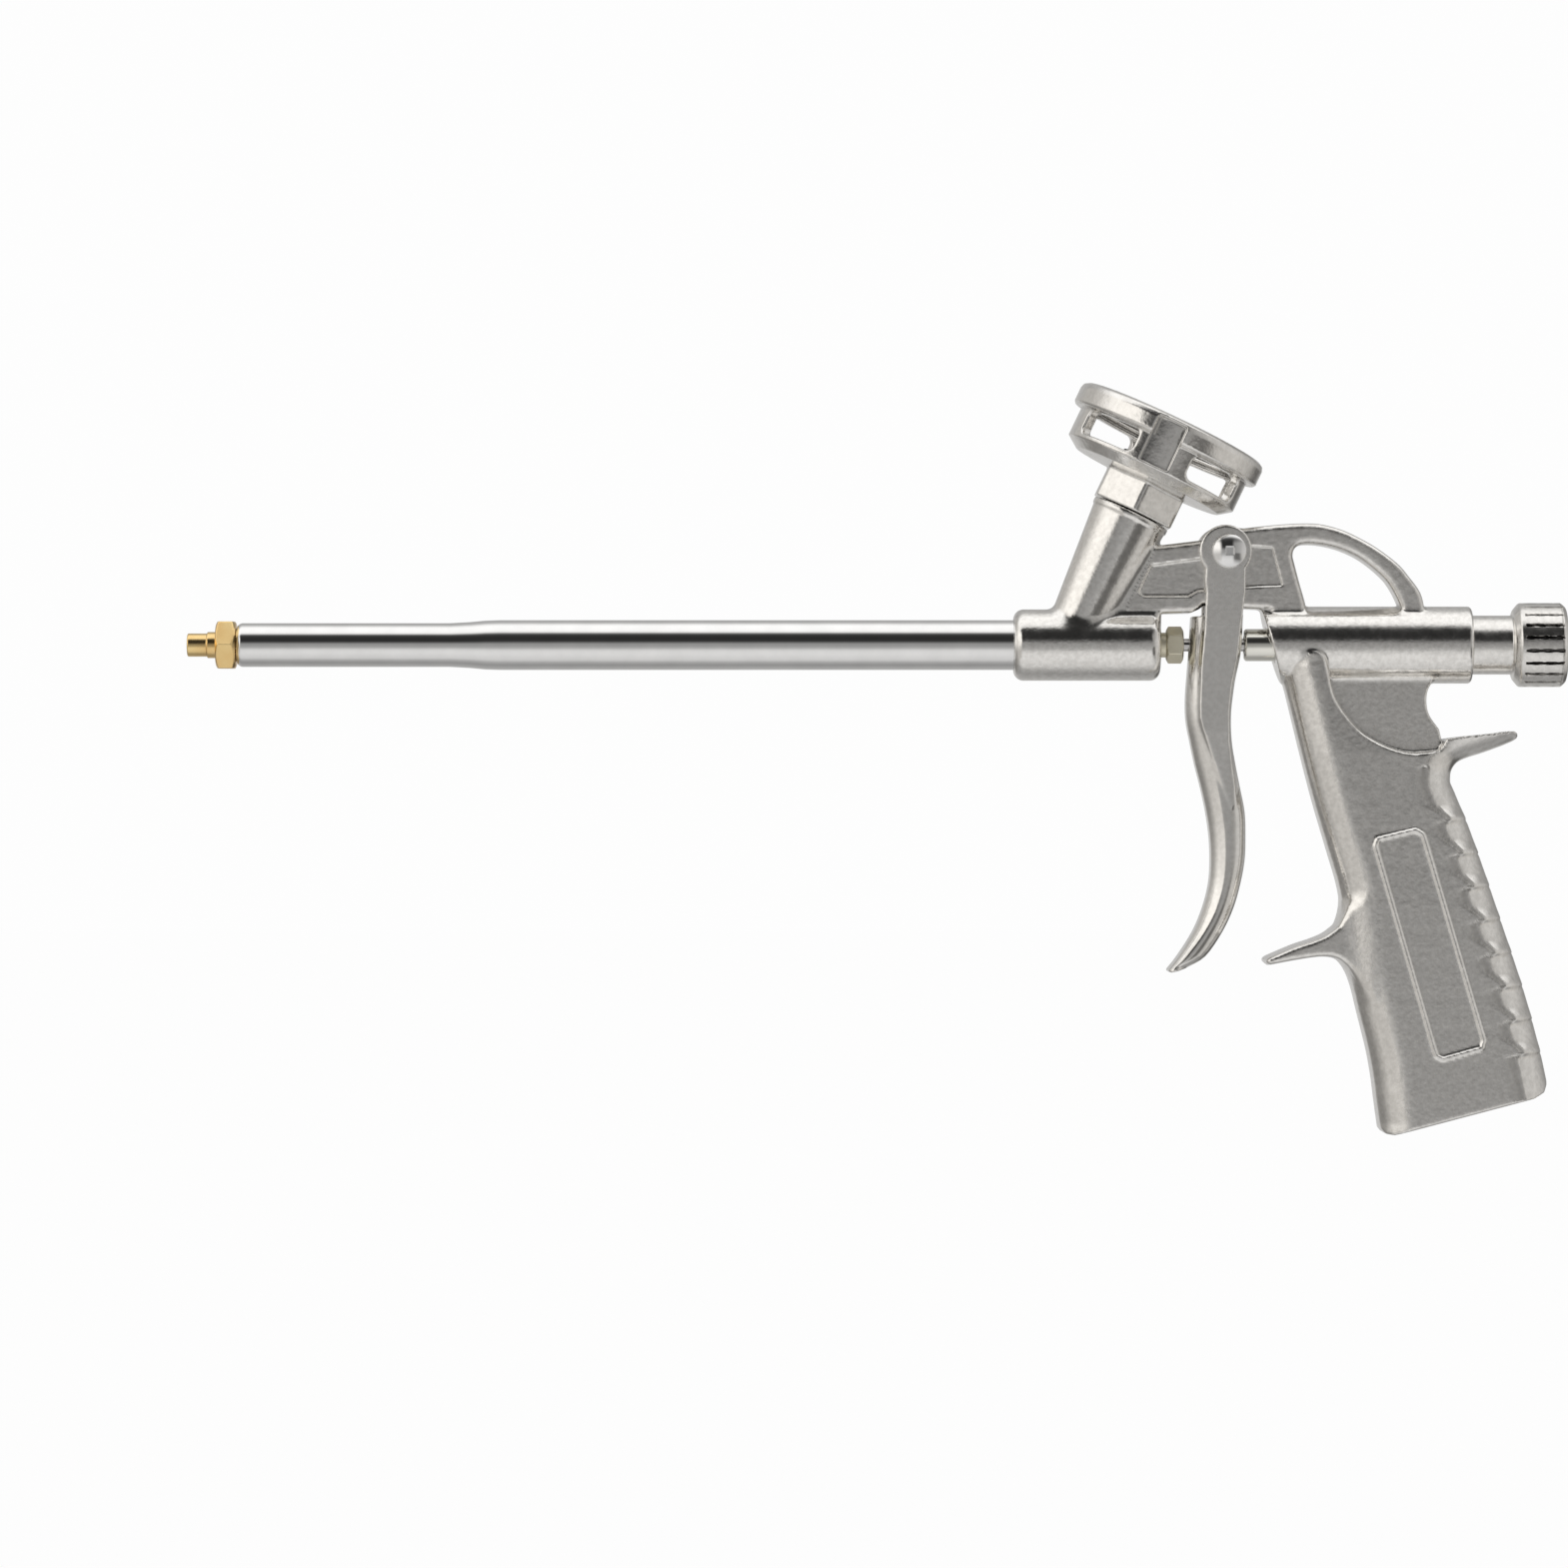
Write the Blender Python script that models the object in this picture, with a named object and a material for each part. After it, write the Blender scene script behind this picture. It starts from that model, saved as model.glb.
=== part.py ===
"""Dispensing gun for canned expanding foam: a die-cast pistol body with a long chromed barrel, a screw-on
can adapter, a sprung needle valve pulled by a hinged trigger, and a threaded flow-limiting knob.

Lengths below are millimetres and angles are degrees. The drawing frame has +X toward the rear knob, +Z up
and -Y toward the side that shows the trigger screw. Its origin lies on the barrel axis, right under the
trigger pivot. The root empty moves that frame so that the world origin is the middle of the hand grip.
"""

import math

import bmesh
import bpy
from mathutils import Matrix, Vector

MM = 0.001

# Facet counts of turned surfaces.
FINE_STEPS = 32
ROUND_STEPS = 24
SMALL_STEPS = 16

# General clearances between neighbouring pieces.
GAP = 0.3

# Middle of the hand grip in the drawing frame.
GRIP_X = 41.0
GRIP_Z = -52.0

# Needle and the bores it runs through.
NEEDLE_R = 1.5
NEEDLE_PIN_R = 0.95
NEEDLE_BORE_R = NEEDLE_R + GAP
NEEDLE_TAIL_X = 45.0
NEEDLE_SETBACK = 1.1
NEEDLE_CONE_LENGTH = 2.0

# Nozzle, screwed into the front of the barrel.
BARREL_FRONT_X = -230.3
NOZZLE_HEX_LENGTH = 4.7
NOZZLE_TIP_LENGTH = 6.7
NOZZLE_STEP_LENGTH = 2.0
NOZZLE_SEAT_LENGTH = 2.8
NOZZLE_TIP_R = 2.7
NOZZLE_STEP_R = 3.05
NOZZLE_HEX_FLATS = 11.0
NOZZLE_HEX_REAR_X = BARREL_FRONT_X
NOZZLE_HEX_FRONT_X = NOZZLE_HEX_REAR_X - NOZZLE_HEX_LENGTH
NOZZLE_STEP_X = NOZZLE_HEX_FRONT_X - NOZZLE_STEP_LENGTH
NOZZLE_TIP_X = NOZZLE_HEX_FRONT_X - NOZZLE_TIP_LENGTH
NOZZLE_ORIFICE_R = 1.35
NOZZLE_BORE_R = 2.6
NOZZLE_SHANK_LENGTH = 9.0

# Barrel: a thin front tube that widens into a thicker rear tube.
BARREL_THIN_R = 5.1
BARREL_WIDE_R = 5.8
BARREL_WALL = 1.0
BARREL_THIN_LENGTH = 49.7
BARREL_FLARE_LENGTH = 11.6
BARREL_FLARE_FRONT_X = BARREL_FRONT_X + BARREL_THIN_LENGTH
BARREL_FLARE_REAR_X = BARREL_FLARE_FRONT_X + BARREL_FLARE_LENGTH

# Front cylinder of the body, which holds the barrel, the foam chamber and the needle gland.
FRONT_R = 8.3
FRONT_X = -49.7
FRONT_REAR_X = -15.6
FRONT_EDGE = 2.5
SOCKET_FLOOR_X = -40.6
CHAMBER_R = 3.4
CHAMBER_REAR_X = -28.7
PACKING_FLOOR_X = -26.2
O_RING_R = 0.55

# Needle gland: packing and washer squeezed by a hollow hexagon nut.
GLAND_BORE_R = 3.2
GLAND_HEX_FLATS = 8.0
GLAND_HEX_FRONT_X = -14.4
GLAND_HEX_LENGTH = 4.4
GLAND_WASHER_LENGTH = 0.8
GLAND_PACKING_LENGTH = 3.0

# Inlet tube, leaning back from the vertical, with the can adapter on its end. Stations run along its axis
# from the barrel axis upward.
INLET_X = -36.8
INLET_LEAN = 25.5
TUBE_ROOT_R = 7.05
TUBE_ROOT = 7.6
TUBE_TOP_R = 9.0
TUBE_TOP = 32.4
COLLAR_R = 9.4
COLLAR_TOP = 33.9
TUBE_THREAD_R = 6.3
TUBE_THREAD_FLOOR = 23.5
ADAPTER_HEX_FLATS = 19.0
ADAPTER_HEX_LENGTH = 8.0
ADAPTER_STEM_LENGTH = 10.0
PLATE_TOP = 44.3
CAGE_TOP = 51.3
RIM_TOP = 57.0
PLATE_R = 18.4
CAGE_R = 21.1
BAND_R = 23.25
CUP_R = 18.5
CUP_THREAD_R = 18.0
CUP_FLOOR = 45.0
BOSS_R = 4.0
BOSS_TOP = 48.6
WINDOW_CENTRE = 42.0
WINDOW_WIDTH = 46.0
POCKET_FROM = -13.0
POCKET_TO = 8.0
POCKET_DEPTH = 1.9
CAN_SEAL_R = 8.0
CAN_SEAL_LENGTH = 1.5

# Check valve inside the adapter stem.
VALVE_BORE_R = 4.4
VALVE_ROOF = 40.0
VALVE_PASSAGE_R = 1.6
SEAT_LENGTH = 1.4
SEAT_BORE_R = 2.1
BALL_R = 3.0
VALVE_SPRING_R = 2.2
VALVE_SPRING_WIRE_R = 0.28
VALVE_SPRING_TURNS = 4
RETAINER_LENGTH = 2.2

# Web and arch that join the front cylinder, the pivot and the rear cylinder.
WEB_HALF = 5.0
WEB_EDGE = 1.0
WEB_OUTLINE = (
    (-35.5, 2.0), (-16.9, 2.4), (-15.4, 7.2), (-8.6, 7.4), (-5.6, 9.1), (3.7, 8.4), (9.6, 8.1),
    (14.5, 3.5), (42.5, 3.5), (46.0, 8.0), (45.2, 12.0), (42.6, 15.8), (40.2, 18.8), (35.6, 22.5),
    (30.9, 25.3), (26.3, 27.2), (21.6, 28.0), (16.0, 28.1), (10.0, 27.7), (3.6, 27.0), (0.0, 27.3),
    (-3.4, 26.4), (-6.5, 24.2), (-14.7, 23.2), (-26.0, 22.4),
)
ARCH_OPENING = (
    (18.6, 9.0), (17.0, 14.2), (15.6, 20.4), (16.2, 22.4), (18.0, 23.1), (21.6, 23.0), (26.3, 21.8),
    (30.9, 19.3), (35.6, 15.8), (38.2, 13.0), (41.1, 9.0), (39.0, 7.6), (20.0, 7.6),
)

# Rear cylinder: needle guide in front, spring chamber behind.
REAR_R = 8.95
REAR_END_X = 56.7
REAR_EDGE = 0.8
REAR_FACE_TOP_X = 8.1
REAR_FACE_BOTTOM_X = 12.9
CHAMBER_FRONT_X = 23.6
SPRING_CHAMBER_R = 7.15

# Handle: oblique sections from the base upward, each as front point, back point, half width, front corner
# radius and back corner radius.
HANDLE_SECTIONS = (
    ((37.6, -114.2), (71.3, -105.6), 9.8, 7.0, 4.0),
    ((35.9, -113.0), (73.7, -103.3), 11.2, 8.0, 5.0),
    ((34.8, -109.8), (73.6, -99.3), 11.5, 8.4, 5.5),
    ((32.9, -97.0), (71.0, -88.0), 11.5, 8.5, 5.5),
    ((30.0, -84.2), (67.9, -77.0), 11.4, 8.5, 5.5),
    ((27.3, -75.6), (65.0, -68.5), 11.3, 8.5, 5.5),
    ((26.3, -62.2), (61.9, -59.2), 11.2, 8.5, 5.5),
    ((23.9, -51.9), (58.7, -49.8), 11.1, 8.5, 5.5),
    ((21.2, -42.6), (55.4, -41.3), 11.0, 8.5, 5.5),
    ((18.0, -31.6), (51.6, -32.4), 10.9, 8.3, 5.5),
    ((16.2, -25.3), (51.3, -28.0), 10.7, 7.5, 4.5),
    ((14.9, -20.5), (37.0, -23.9), 10.5, 6.0, 4.0),
    ((13.9, -16.4), (28.0, -17.6), 10.2, 4.5, 3.0),
    ((12.9, -11.9), (24.4, -12.4), 9.7, 3.6, 2.6),
    ((13.0, -6.0), (22.7, -5.0), 8.6, 3.0, 2.4),
)
CORNER_STEPS = 4

# Thin web between the rear cylinder and the handle.
UNDER_WEB_HALF = 4.6
UNDER_WEB_OUTLINE = (
    (16.0, -3.0), (44.0, -3.0), (47.4, -7.6), (46.2, -10.9), (46.0, -13.7), (46.7, -16.5), (48.9, -19.6),
    (50.0, -24.5), (45.0, -31.0), (22.0, -31.0), (16.5, -14.0),
)

# Rear spur above the hand and finger guard in front of it. Both taper toward their sides.
SPUR_HALF = 10.4
SPUR_OUTLINE = (
    (40.0, -27.5), (44.0, -31.5), (50.9, -30.4), (52.1, -27.9), (54.1, -26.7), (58.8, -25.3),
    (63.4, -23.9), (67.4, -22.1), (68.1, -21.2), (66.8, -20.6), (61.1, -20.5), (54.1, -21.1),
    (48.4, -20.6), (42.0, -24.0),
)
GUARD_HALF = 10.3
GUARD_OUTLINE = (
    (31.0, -60.0), (26.8, -61.2), (25.3, -64.0), (22.5, -66.7), (15.3, -69.5), (8.9, -72.4),
    (8.4, -73.5), (9.4, -74.4), (14.5, -73.2), (20.5, -72.3), (24.6, -72.5), (26.6, -74.4),
    (29.0, -81.0), (35.0, -80.0),
)
FIN_DRAFT = 0.5
FIN_EDGE = 1.3

# Trigger pivot: sleeve nut through both cheeks and the web, closed by a dome-headed screw.
PIVOT_Z = 21.6
SLEEVE_R = 2.5
PIVOT_HOLE_R = SLEEVE_R + GAP
PIVOT_SCREW_R = 1.5
PIVOT_HEAD_R = 3.9
PIVOT_HEAD_HEIGHT = 2.3
PIVOT_RECESS_FLATS = 2.5

# Trigger: a finger lever below the web and two cheeks that straddle the web up to the pivot.
EYE_R = 6.0
CHEEK_INNER = WEB_HALF + GAP
CHEEK_THICKNESS = 3.0
CHEEK_OUTER = CHEEK_INNER + CHEEK_THICKNESS
# Lever sections from the top down, each as front point, rear point, half width, front corner radius and
# rear corner radius.
LEVER_SECTIONS = (
    ((-8.5, 6.6), (3.4, 6.6), 6.4, 4.6, 1.0),
    ((-8.9, 0.0), (3.4, 0.0), 6.6, 5.0, 1.0),
    ((-9.2, -4.0), (3.1, -3.2), 6.6, 5.2, 1.2),
    ((-9.8, -12.0), (1.6, -11.6), 6.6, 5.6, 2.0),
    ((-9.4, -19.4), (1.2, -18.6), 6.6, 5.6, 2.4),
    ((-7.7, -28.0), (2.2, -26.8), 6.6, 5.4, 2.6),
    ((-5.1, -38.9), (4.0, -38.0), 6.6, 5.0, 2.6),
    ((-4.1, -47.0), (4.2, -46.6), 6.6, 4.6, 2.6),
    ((-4.4, -55.3), (3.1, -54.9), 6.5, 4.2, 2.4),
    ((-6.2, -62.3), (0.8, -61.6), 6.4, 4.0, 2.2),
    ((-9.2, -68.9), (-2.6, -68.1), 6.2, 3.8, 2.0),
    ((-12.3, -73.4), (-6.4, -72.6), 5.8, 3.2, 1.8),
    ((-13.9, -75.4), (-10.4, -74.6), 5.2, 1.6, 1.2),
    ((-13.3, -76.0), (-11.9, -75.8), 4.2, 0.6, 0.5),
)
NEEDLE_SLOT_HALF = 2.0
NEEDLE_SLOT_HEIGHT = 3.6
CHEEK_FRONT_X = -5.1
CHEEK_STEP_Z = -15.1
CHEEK_TOE = (0.4, -35.8)

# Pull sleeve around the needle, its lock nut, and the return spring behind it.
SLEEVE_NOSE_X = 3.9
PULL_SLEEVE_R = 3.75
SHOULDER_X = 24.0
SHOULDER_LENGTH = 3.0
SHOULDER_R = 6.6
LOCK_NUT_FLATS = 5.5
LOCK_NUT_LENGTH = 2.4
FRONT_WASHER_LENGTH = 0.7
REAR_WASHER_LENGTH = 1.0
SPRING_R = 4.3
SPRING_WIRE_R = 0.45
SPRING_TURNS = 7
SPRING_END_X = 51.3

# Flow knob: a hollow screw in the rear cylinder with a fluted head.
KNOB_NECK_R = SPRING_CHAMBER_R - GAP
KNOB_FRONT_X = 44.0
KNOB_HOLLOW_R = 5.15
KNOB_NECK_END_X = 66.0
KNOB_END_X = 78.6
KNOB_HEAD_R = 9.75
KNOB_FLUTES = 20
KNOB_FLUTE_DEPTH = 0.45
KNOB_GROOVE_R = 5.9
KNOB_GROOVE_X = 54.0
KNOB_RING_R = 0.35


def clear_scene():
    """Remove every object."""
    for old in list(bpy.data.objects):
        bpy.data.objects.remove(old, do_unlink=True)


def solid(name, points, faces):
    """Object with its faces pointing outward. Meshes stay in millimetres until finish scales them."""
    mesh = bpy.data.meshes.new(name)
    mesh.from_pydata(points, [], faces)
    outward(mesh)
    obj = bpy.data.objects.new(name, mesh)
    bpy.context.collection.objects.link(obj)
    return obj


def outward(mesh):
    """Make the face directions agree and point out of the solid."""
    work = bmesh.new()
    work.from_mesh(mesh)
    bmesh.ops.recalc_face_normals(work, faces=work.faces)
    work.to_mesh(mesh)
    work.free()


def skin(name, rings, closed):
    """Solid through rings of equally many points: joined in a loop if closed, otherwise with flat ends."""
    count = len(rings[0])
    points = [p for ring in rings for p in ring]
    starts = [i * count for i in range(len(rings))]
    pairs = list(zip(starts, starts[1:]))
    if closed:
        pairs.append((starts[-1], starts[0]))
    faces = []
    for a, b in pairs:
        for i in range(count):
            j = (i + 1) % count
            faces.append((a + i, a + j, b + j, b + i))
    if not closed:
        faces.append(tuple(range(count)))
        faces.append(tuple(range(starts[-1], starts[-1] + count)))
    return solid(name, points, faces)


def revolve(name, outline, steps=ROUND_STEPS):
    """Solid turned about +X from a closed outline of (x, radius) points."""
    points = []
    rings = []
    for x, radius in outline:
        first = len(points)
        if radius == 0:
            points.append((x, 0, 0))
            rings.append([first] * steps)
            continue
        for i in range(steps):
            turn = 2 * math.pi * i / steps
            points.append((x, radius * math.cos(turn), radius * math.sin(turn)))
        rings.append(list(range(first, first + steps)))
    faces = []
    for a, b in zip(rings, rings[1:] + rings[:1]):
        for i in range(steps):
            j = (i + 1) % steps
            corners = tuple(dict.fromkeys((a[i], a[j], b[j], b[i])))
            if len(corners) > 2:
                faces.append(corners)
    return solid(name, points, faces)


def rod(name, x0, x1, radius, steps=ROUND_STEPS):
    """Plain cylinder along X."""
    return revolve(name, [(x0, 0), (x0, radius), (x1, radius), (x1, 0)], steps)


def ring(name, x0, x1, inner, outer, steps=ROUND_STEPS):
    """Flat ring along X."""
    return revolve(name, [(x0, inner), (x0, outer), (x1, outer), (x1, inner)], steps)


def o_ring(name, x, radius, wire, steps=ROUND_STEPS, sides=6):
    """Ring of round section about the X axis."""
    outline = []
    for i in range(sides):
        turn = 2 * math.pi * i / sides
        outline.append((x + wire * math.cos(turn), radius + wire * math.sin(turn)))
    return revolve(name, outline, steps)


def hexagon(name, x0, x1, flats, chamfer):
    """Hexagon bar along X with one corner toward -Y and both ends chamfered at the corners."""
    corner = flats / math.sqrt(3)
    rings = []
    for x in (x0, x1):
        loop = []
        for i in range(6):
            turn = math.pi + i * math.pi / 3
            loop.append((x, corner * math.cos(turn), corner * math.sin(turn)))
        rings.append(loop)
    bar = skin(name, rings, closed=False)
    face = flats / 2 - 0.02 * flats
    reach = corner + 0.05
    slope = chamfer * (reach - face) / (corner - face)
    turned = [(x0 - 0.01, 0), (x0 - 0.01, face), (x0 + slope, reach), (x1 - slope, reach),
              (x1 + 0.01, face), (x1 + 0.01, 0)]
    return combine(bar, revolve(name + "_turning", turned, ROUND_STEPS), "INTERSECT")


def inset(outline, amount):
    """Outline moved inward by amount; the outline runs either way round."""
    area = 0
    for (x0, z0), (x1, z1) in zip(outline, outline[1:] + outline[:1]):
        area += x0 * z1 - x1 * z0
    side = 1 if area > 0 else -1
    moved = []
    count = len(outline)
    for i in range(count):
        here = Vector(outline[i])
        before = (here - Vector(outline[i - 1])).normalized()
        after = (Vector(outline[(i + 1) % count]) - here).normalized()
        n0 = Vector((-before.y, before.x)) * side
        n1 = Vector((-after.y, after.x)) * side
        shift = (n0 + n1) / max(1 + n0.dot(n1), 0.35)
        moved.append(tuple(here + shift * amount))
    return moved


def slab(name, outline, layers):
    """Plate across Y from an (x, z) outline; each layer is a Y station and how far it lies inside."""
    rings = []
    for y, amount in layers:
        rings.append([(x, y, z) for x, z in inset(list(outline), amount)])
    return skin(name, rings, closed=False)


def plate(name, outline, half, edge):
    """Plate centred on Y = 0 with chamfered rims."""
    layers = [(-half, edge), (edge - half, 0.0), (half - edge, 0.0), (half, edge)]
    return slab(name, outline, layers)


def fin(name, outline, half):
    """Plate that is thickest at its middle and has softened rims."""
    layers = [
        (-half, FIN_DRAFT + FIN_EDGE), (FIN_EDGE - half, FIN_DRAFT), (0.0, 0.0),
        (half - FIN_EDGE, FIN_DRAFT), (half, FIN_DRAFT + FIN_EDGE),
    ]
    return slab(name, outline, layers)


def sector(name, radii, turns, stations, steps):
    """Piece of a thick ring about X; turns are measured from -Y toward -Z."""
    rings = []
    for i in range(steps + 1):
        turn = math.radians(turns[0] + (turns[1] - turns[0]) * i / steps)
        loop = []
        for x, radius in (
            (stations[0], radii[0]), (stations[0], radii[1]), (stations[1], radii[1]), (stations[1], radii[0]),
        ):
            loop.append((x, -radius * math.cos(turn), -radius * math.sin(turn)))
        rings.append(loop)
    return skin(name, rings, closed=False)


def coil(name, x0, x1, radius, wire, turns, steps, sides):
    """Compression spring along X whose first and last turns lie nearly flat."""
    count = turns * steps
    rings = []
    for i in range(count + 1):
        share = i / count
        flat = 1 / turns
        lift = (share - flat) / (1 - 2 * flat)
        dead = 2.1 * wire
        inner = x1 - x0 - 2 * dead
        if share < flat:
            x = x0 + dead * share / flat
        elif share > 1 - flat:
            x = x1 - dead * (1 - share) / flat
        else:
            x = x0 + dead + inner * lift
        turn = 2 * math.pi * i / steps
        loop = []
        for k in range(sides):
            around = 2 * math.pi * k / sides
            r = radius + wire * math.cos(around)
            loop.append((x + wire * math.sin(around), r * math.cos(turn), r * math.sin(turn)))
        rings.append(loop)
    return skin(name, rings, closed=False)


def combine(base, other, operation):
    """Add, subtract or intersect another solid and keep the result in base."""
    cut = base.modifiers.new(other.name, "BOOLEAN")
    cut.solver = "EXACT"
    cut.operation = operation
    cut.object = other
    graph = bpy.context.evaluated_depsgraph_get()
    result = bpy.data.meshes.new_from_object(base.evaluated_get(graph))
    base.modifiers.clear()
    base.data = result
    bpy.data.objects.remove(other, do_unlink=True)
    return base


def add(base, *others):
    """Join solids to base."""
    for other in others:
        combine(base, other, "UNION")
    return base


def cut(base, *others):
    """Take solids away from base."""
    for other in others:
        combine(base, other, "DIFFERENCE")
    return base


def turned(obj, matrix):
    """Turn and move the points of obj by a matrix."""
    obj.data.transform(matrix)
    return obj


def along_y(obj, z=PIVOT_Z):
    """Turn a solid made along +X so that it lies along +Y at height z on the X = 0 line."""
    return turned(obj, Matrix.Translation((0, 0, z)) @ Matrix.Rotation(math.pi / 2, 4, "Z"))


def inlet_frame():
    """Frame of the inlet tube: its X axis runs up the tube from the barrel axis."""
    lean = Matrix.Rotation(math.radians(INLET_LEAN - 90), 4, "Y")
    return Matrix.Translation((INLET_X, 0, 0)) @ lean


def empty(name, parent, location=(0, 0, 0)):
    """Empty at a place given in millimetres."""
    obj = bpy.data.objects.new(name, None)
    obj.empty_display_size = 0.01
    obj.location = Vector(location) * MM
    obj.parent = parent
    bpy.context.collection.objects.link(obj)
    return obj


def material(name, colour, roughness, metallic):
    """Principled material."""
    made = bpy.data.materials.new(name)
    made.use_nodes = True
    surface = made.node_tree.nodes["Principled BSDF"]
    surface.inputs["Base Color"].default_value = (*colour, 1)
    surface.inputs["Roughness"].default_value = roughness
    surface.inputs["Metallic"].default_value = metallic
    made.diffuse_color = (*colour, 1)
    return made


def finish(obj, parent, surface, sharp=32):
    """Turn a part into metres, put it under its parent, and give it its material and smooth shading."""
    tidy(obj.data)
    obj.data.transform(Matrix.Scale(MM, 4))
    obj.location *= MM
    obj.parent = parent
    obj.data.materials.clear()
    obj.data.materials.append(surface)
    obj.data.shade_smooth()
    obj.data.set_sharp_from_angle(angle=math.radians(sharp))
    return obj


def tidy(mesh):
    """Merge doubled points and remove faces with no area."""
    work = bmesh.new()
    work.from_mesh(mesh)
    bmesh.ops.remove_doubles(work, verts=work.verts, dist=0.002)
    bmesh.ops.dissolve_degenerate(work, dist=0.002, edges=work.edges)
    bmesh.ops.recalc_face_normals(work, faces=work.faces)
    work.to_mesh(mesh)
    work.free()


def recentre(obj, point):
    """Move the origin of obj to a point in millimetres without moving its surface."""
    obj.data.transform(Matrix.Translation(-Vector(point)))
    obj.location = point
    return obj


def front_cylinder():
    """Front cylinder of the casting with rounded ends."""
    outline = [(FRONT_X, 0)]
    for i in range(5):
        turn = math.pi / 2 * i / 4
        outline.append((FRONT_X + FRONT_EDGE * (1 - math.sin(turn)),
                        FRONT_R - FRONT_EDGE * (1 - math.cos(turn))))
    outline[1:] = reversed(outline[1:])
    rear = [(FRONT_X + FRONT_REAR_X - x, r) for x, r in reversed(outline)]
    return revolve("front_cylinder", outline + rear, FINE_STEPS)


def rear_cylinder():
    """Rear cylinder of the casting, with its front end cut off at a slant."""
    start = REAR_FACE_TOP_X - 4
    body = revolve(
        "rear_cylinder",
        [(start, 0), (start, REAR_R), (REAR_END_X - REAR_EDGE, REAR_R),
         (REAR_END_X, REAR_R - REAR_EDGE), (REAR_END_X, 0)],
        FINE_STEPS,
    )
    rise = (REAR_FACE_BOTTOM_X - REAR_FACE_TOP_X) / (2 * REAR_R)
    high = REAR_FACE_TOP_X - 4 * rise
    low = REAR_FACE_BOTTOM_X + 4 * rise
    wedge = ((start - 5, REAR_R + 4), (high, REAR_R + 4), (low, -REAR_R - 4), (start - 5, -REAR_R - 4))
    return cut(body, slab("slant", wedge, [(-12, 0), (12, 0)]))


def grip_loop(front, back, half, front_r, back_r):
    """Rounded section of the handle between a front point and a back point."""
    start = Vector((front[0], 0, front[1]))
    along = Vector((back[0], 0, back[1])) - start
    length = along.length
    along.normalize()
    corners = (
        (front_r, front_r - half, front_r, 270), (length - back_r, back_r - half, back_r, 0),
        (length - back_r, half - back_r, back_r, 90), (front_r, half - front_r, front_r, 180),
    )
    loop = []
    for t, y, radius, first in corners:
        for i in range(CORNER_STEPS + 1):
            turn = math.radians(first - 90 + 90 * i / CORNER_STEPS)
            at = start + along * (t + radius * math.cos(turn))
            loop.append((at.x, y + radius * math.sin(turn), at.z))
    return loop


def handle():
    """Hand grip with its flat base."""
    return skin("handle", [grip_loop(*section) for section in HANDLE_SECTIONS], closed=False)


def inlet_tube():
    """Tapered tube with a collar that carries the can adapter."""
    tube = revolve(
        "inlet_tube",
        [(1.0, 0), (1.0, TUBE_ROOT_R - 0.5), (TUBE_ROOT, TUBE_ROOT_R), (TUBE_TOP, TUBE_TOP_R),
         (TUBE_TOP + 0.3, COLLAR_R), (COLLAR_TOP - 0.4, COLLAR_R), (COLLAR_TOP, COLLAR_R - 0.4), (COLLAR_TOP, 0)],
        FINE_STEPS,
    )
    return turned(tube, inlet_frame())


def body_bores():
    """Tools for the holes in the casting, from the barrel socket to the spring chamber and the inlet."""
    socket_r = BARREL_WIDE_R + GAP
    tools = [
        revolve("front_bore", [
            (FRONT_X - 1, 0), (FRONT_X - 1, socket_r), (SOCKET_FLOOR_X, socket_r),
            (SOCKET_FLOOR_X, CHAMBER_R), (CHAMBER_REAR_X, CHAMBER_R), (CHAMBER_REAR_X, NEEDLE_BORE_R),
            (PACKING_FLOOR_X, NEEDLE_BORE_R), (PACKING_FLOOR_X, GLAND_BORE_R),
            (FRONT_REAR_X + 1, GLAND_BORE_R), (FRONT_REAR_X + 1, 0),
        ], ROUND_STEPS),
        revolve("rear_bore", [
            (REAR_FACE_TOP_X - 1, 0), (REAR_FACE_TOP_X - 1, PULL_SLEEVE_R + GAP),
            (CHAMBER_FRONT_X, PULL_SLEEVE_R + GAP), (CHAMBER_FRONT_X, SPRING_CHAMBER_R),
            (REAR_END_X + 1, SPRING_CHAMBER_R), (REAR_END_X + 1, 0),
        ], ROUND_STEPS),
        turned(revolve("inlet_bore", [
            (0, 0), (0, CHAMBER_R - 0.2), (TUBE_THREAD_FLOOR, CHAMBER_R - 0.2),
            (TUBE_THREAD_FLOOR, TUBE_THREAD_R), (TUBE_TOP + 0.1, TUBE_THREAD_R),
            (TUBE_TOP + 0.1, TUBE_THREAD_R + 1.4), (COLLAR_TOP + 1, TUBE_THREAD_R + 1.4), (COLLAR_TOP + 1, 0),
        ], ROUND_STEPS), inlet_frame()),
        along_y(rod("pivot_hole", -WEB_HALF - 2, WEB_HALF + 2, PIVOT_HOLE_R, SMALL_STEPS)),
        slab("arch_opening", ARCH_OPENING, [(-WEB_HALF - 2, 0), (WEB_HALF + 2, 0)]),
    ]
    return tools


def body_casting():
    """One-piece casting: cylinders, web, arch, inlet tube and handle."""
    body = front_cylinder()
    arch = plate("web", WEB_OUTLINE, WEB_HALF, WEB_EDGE)
    opening, *bores = reversed(body_bores())
    cut(arch, opening)
    add(
        body,
        inlet_tube(),
        arch,
        rear_cylinder(),
        plate("under_web", UNDER_WEB_OUTLINE, UNDER_WEB_HALF, 0.6),
        handle(),
        fin("rear_spur", SPUR_OUTLINE, SPUR_HALF),
        fin("finger_guard", GUARD_OUTLINE, GUARD_HALF),
    )
    cut(body, *bores)
    body.name = "body_casting"
    return body


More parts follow.
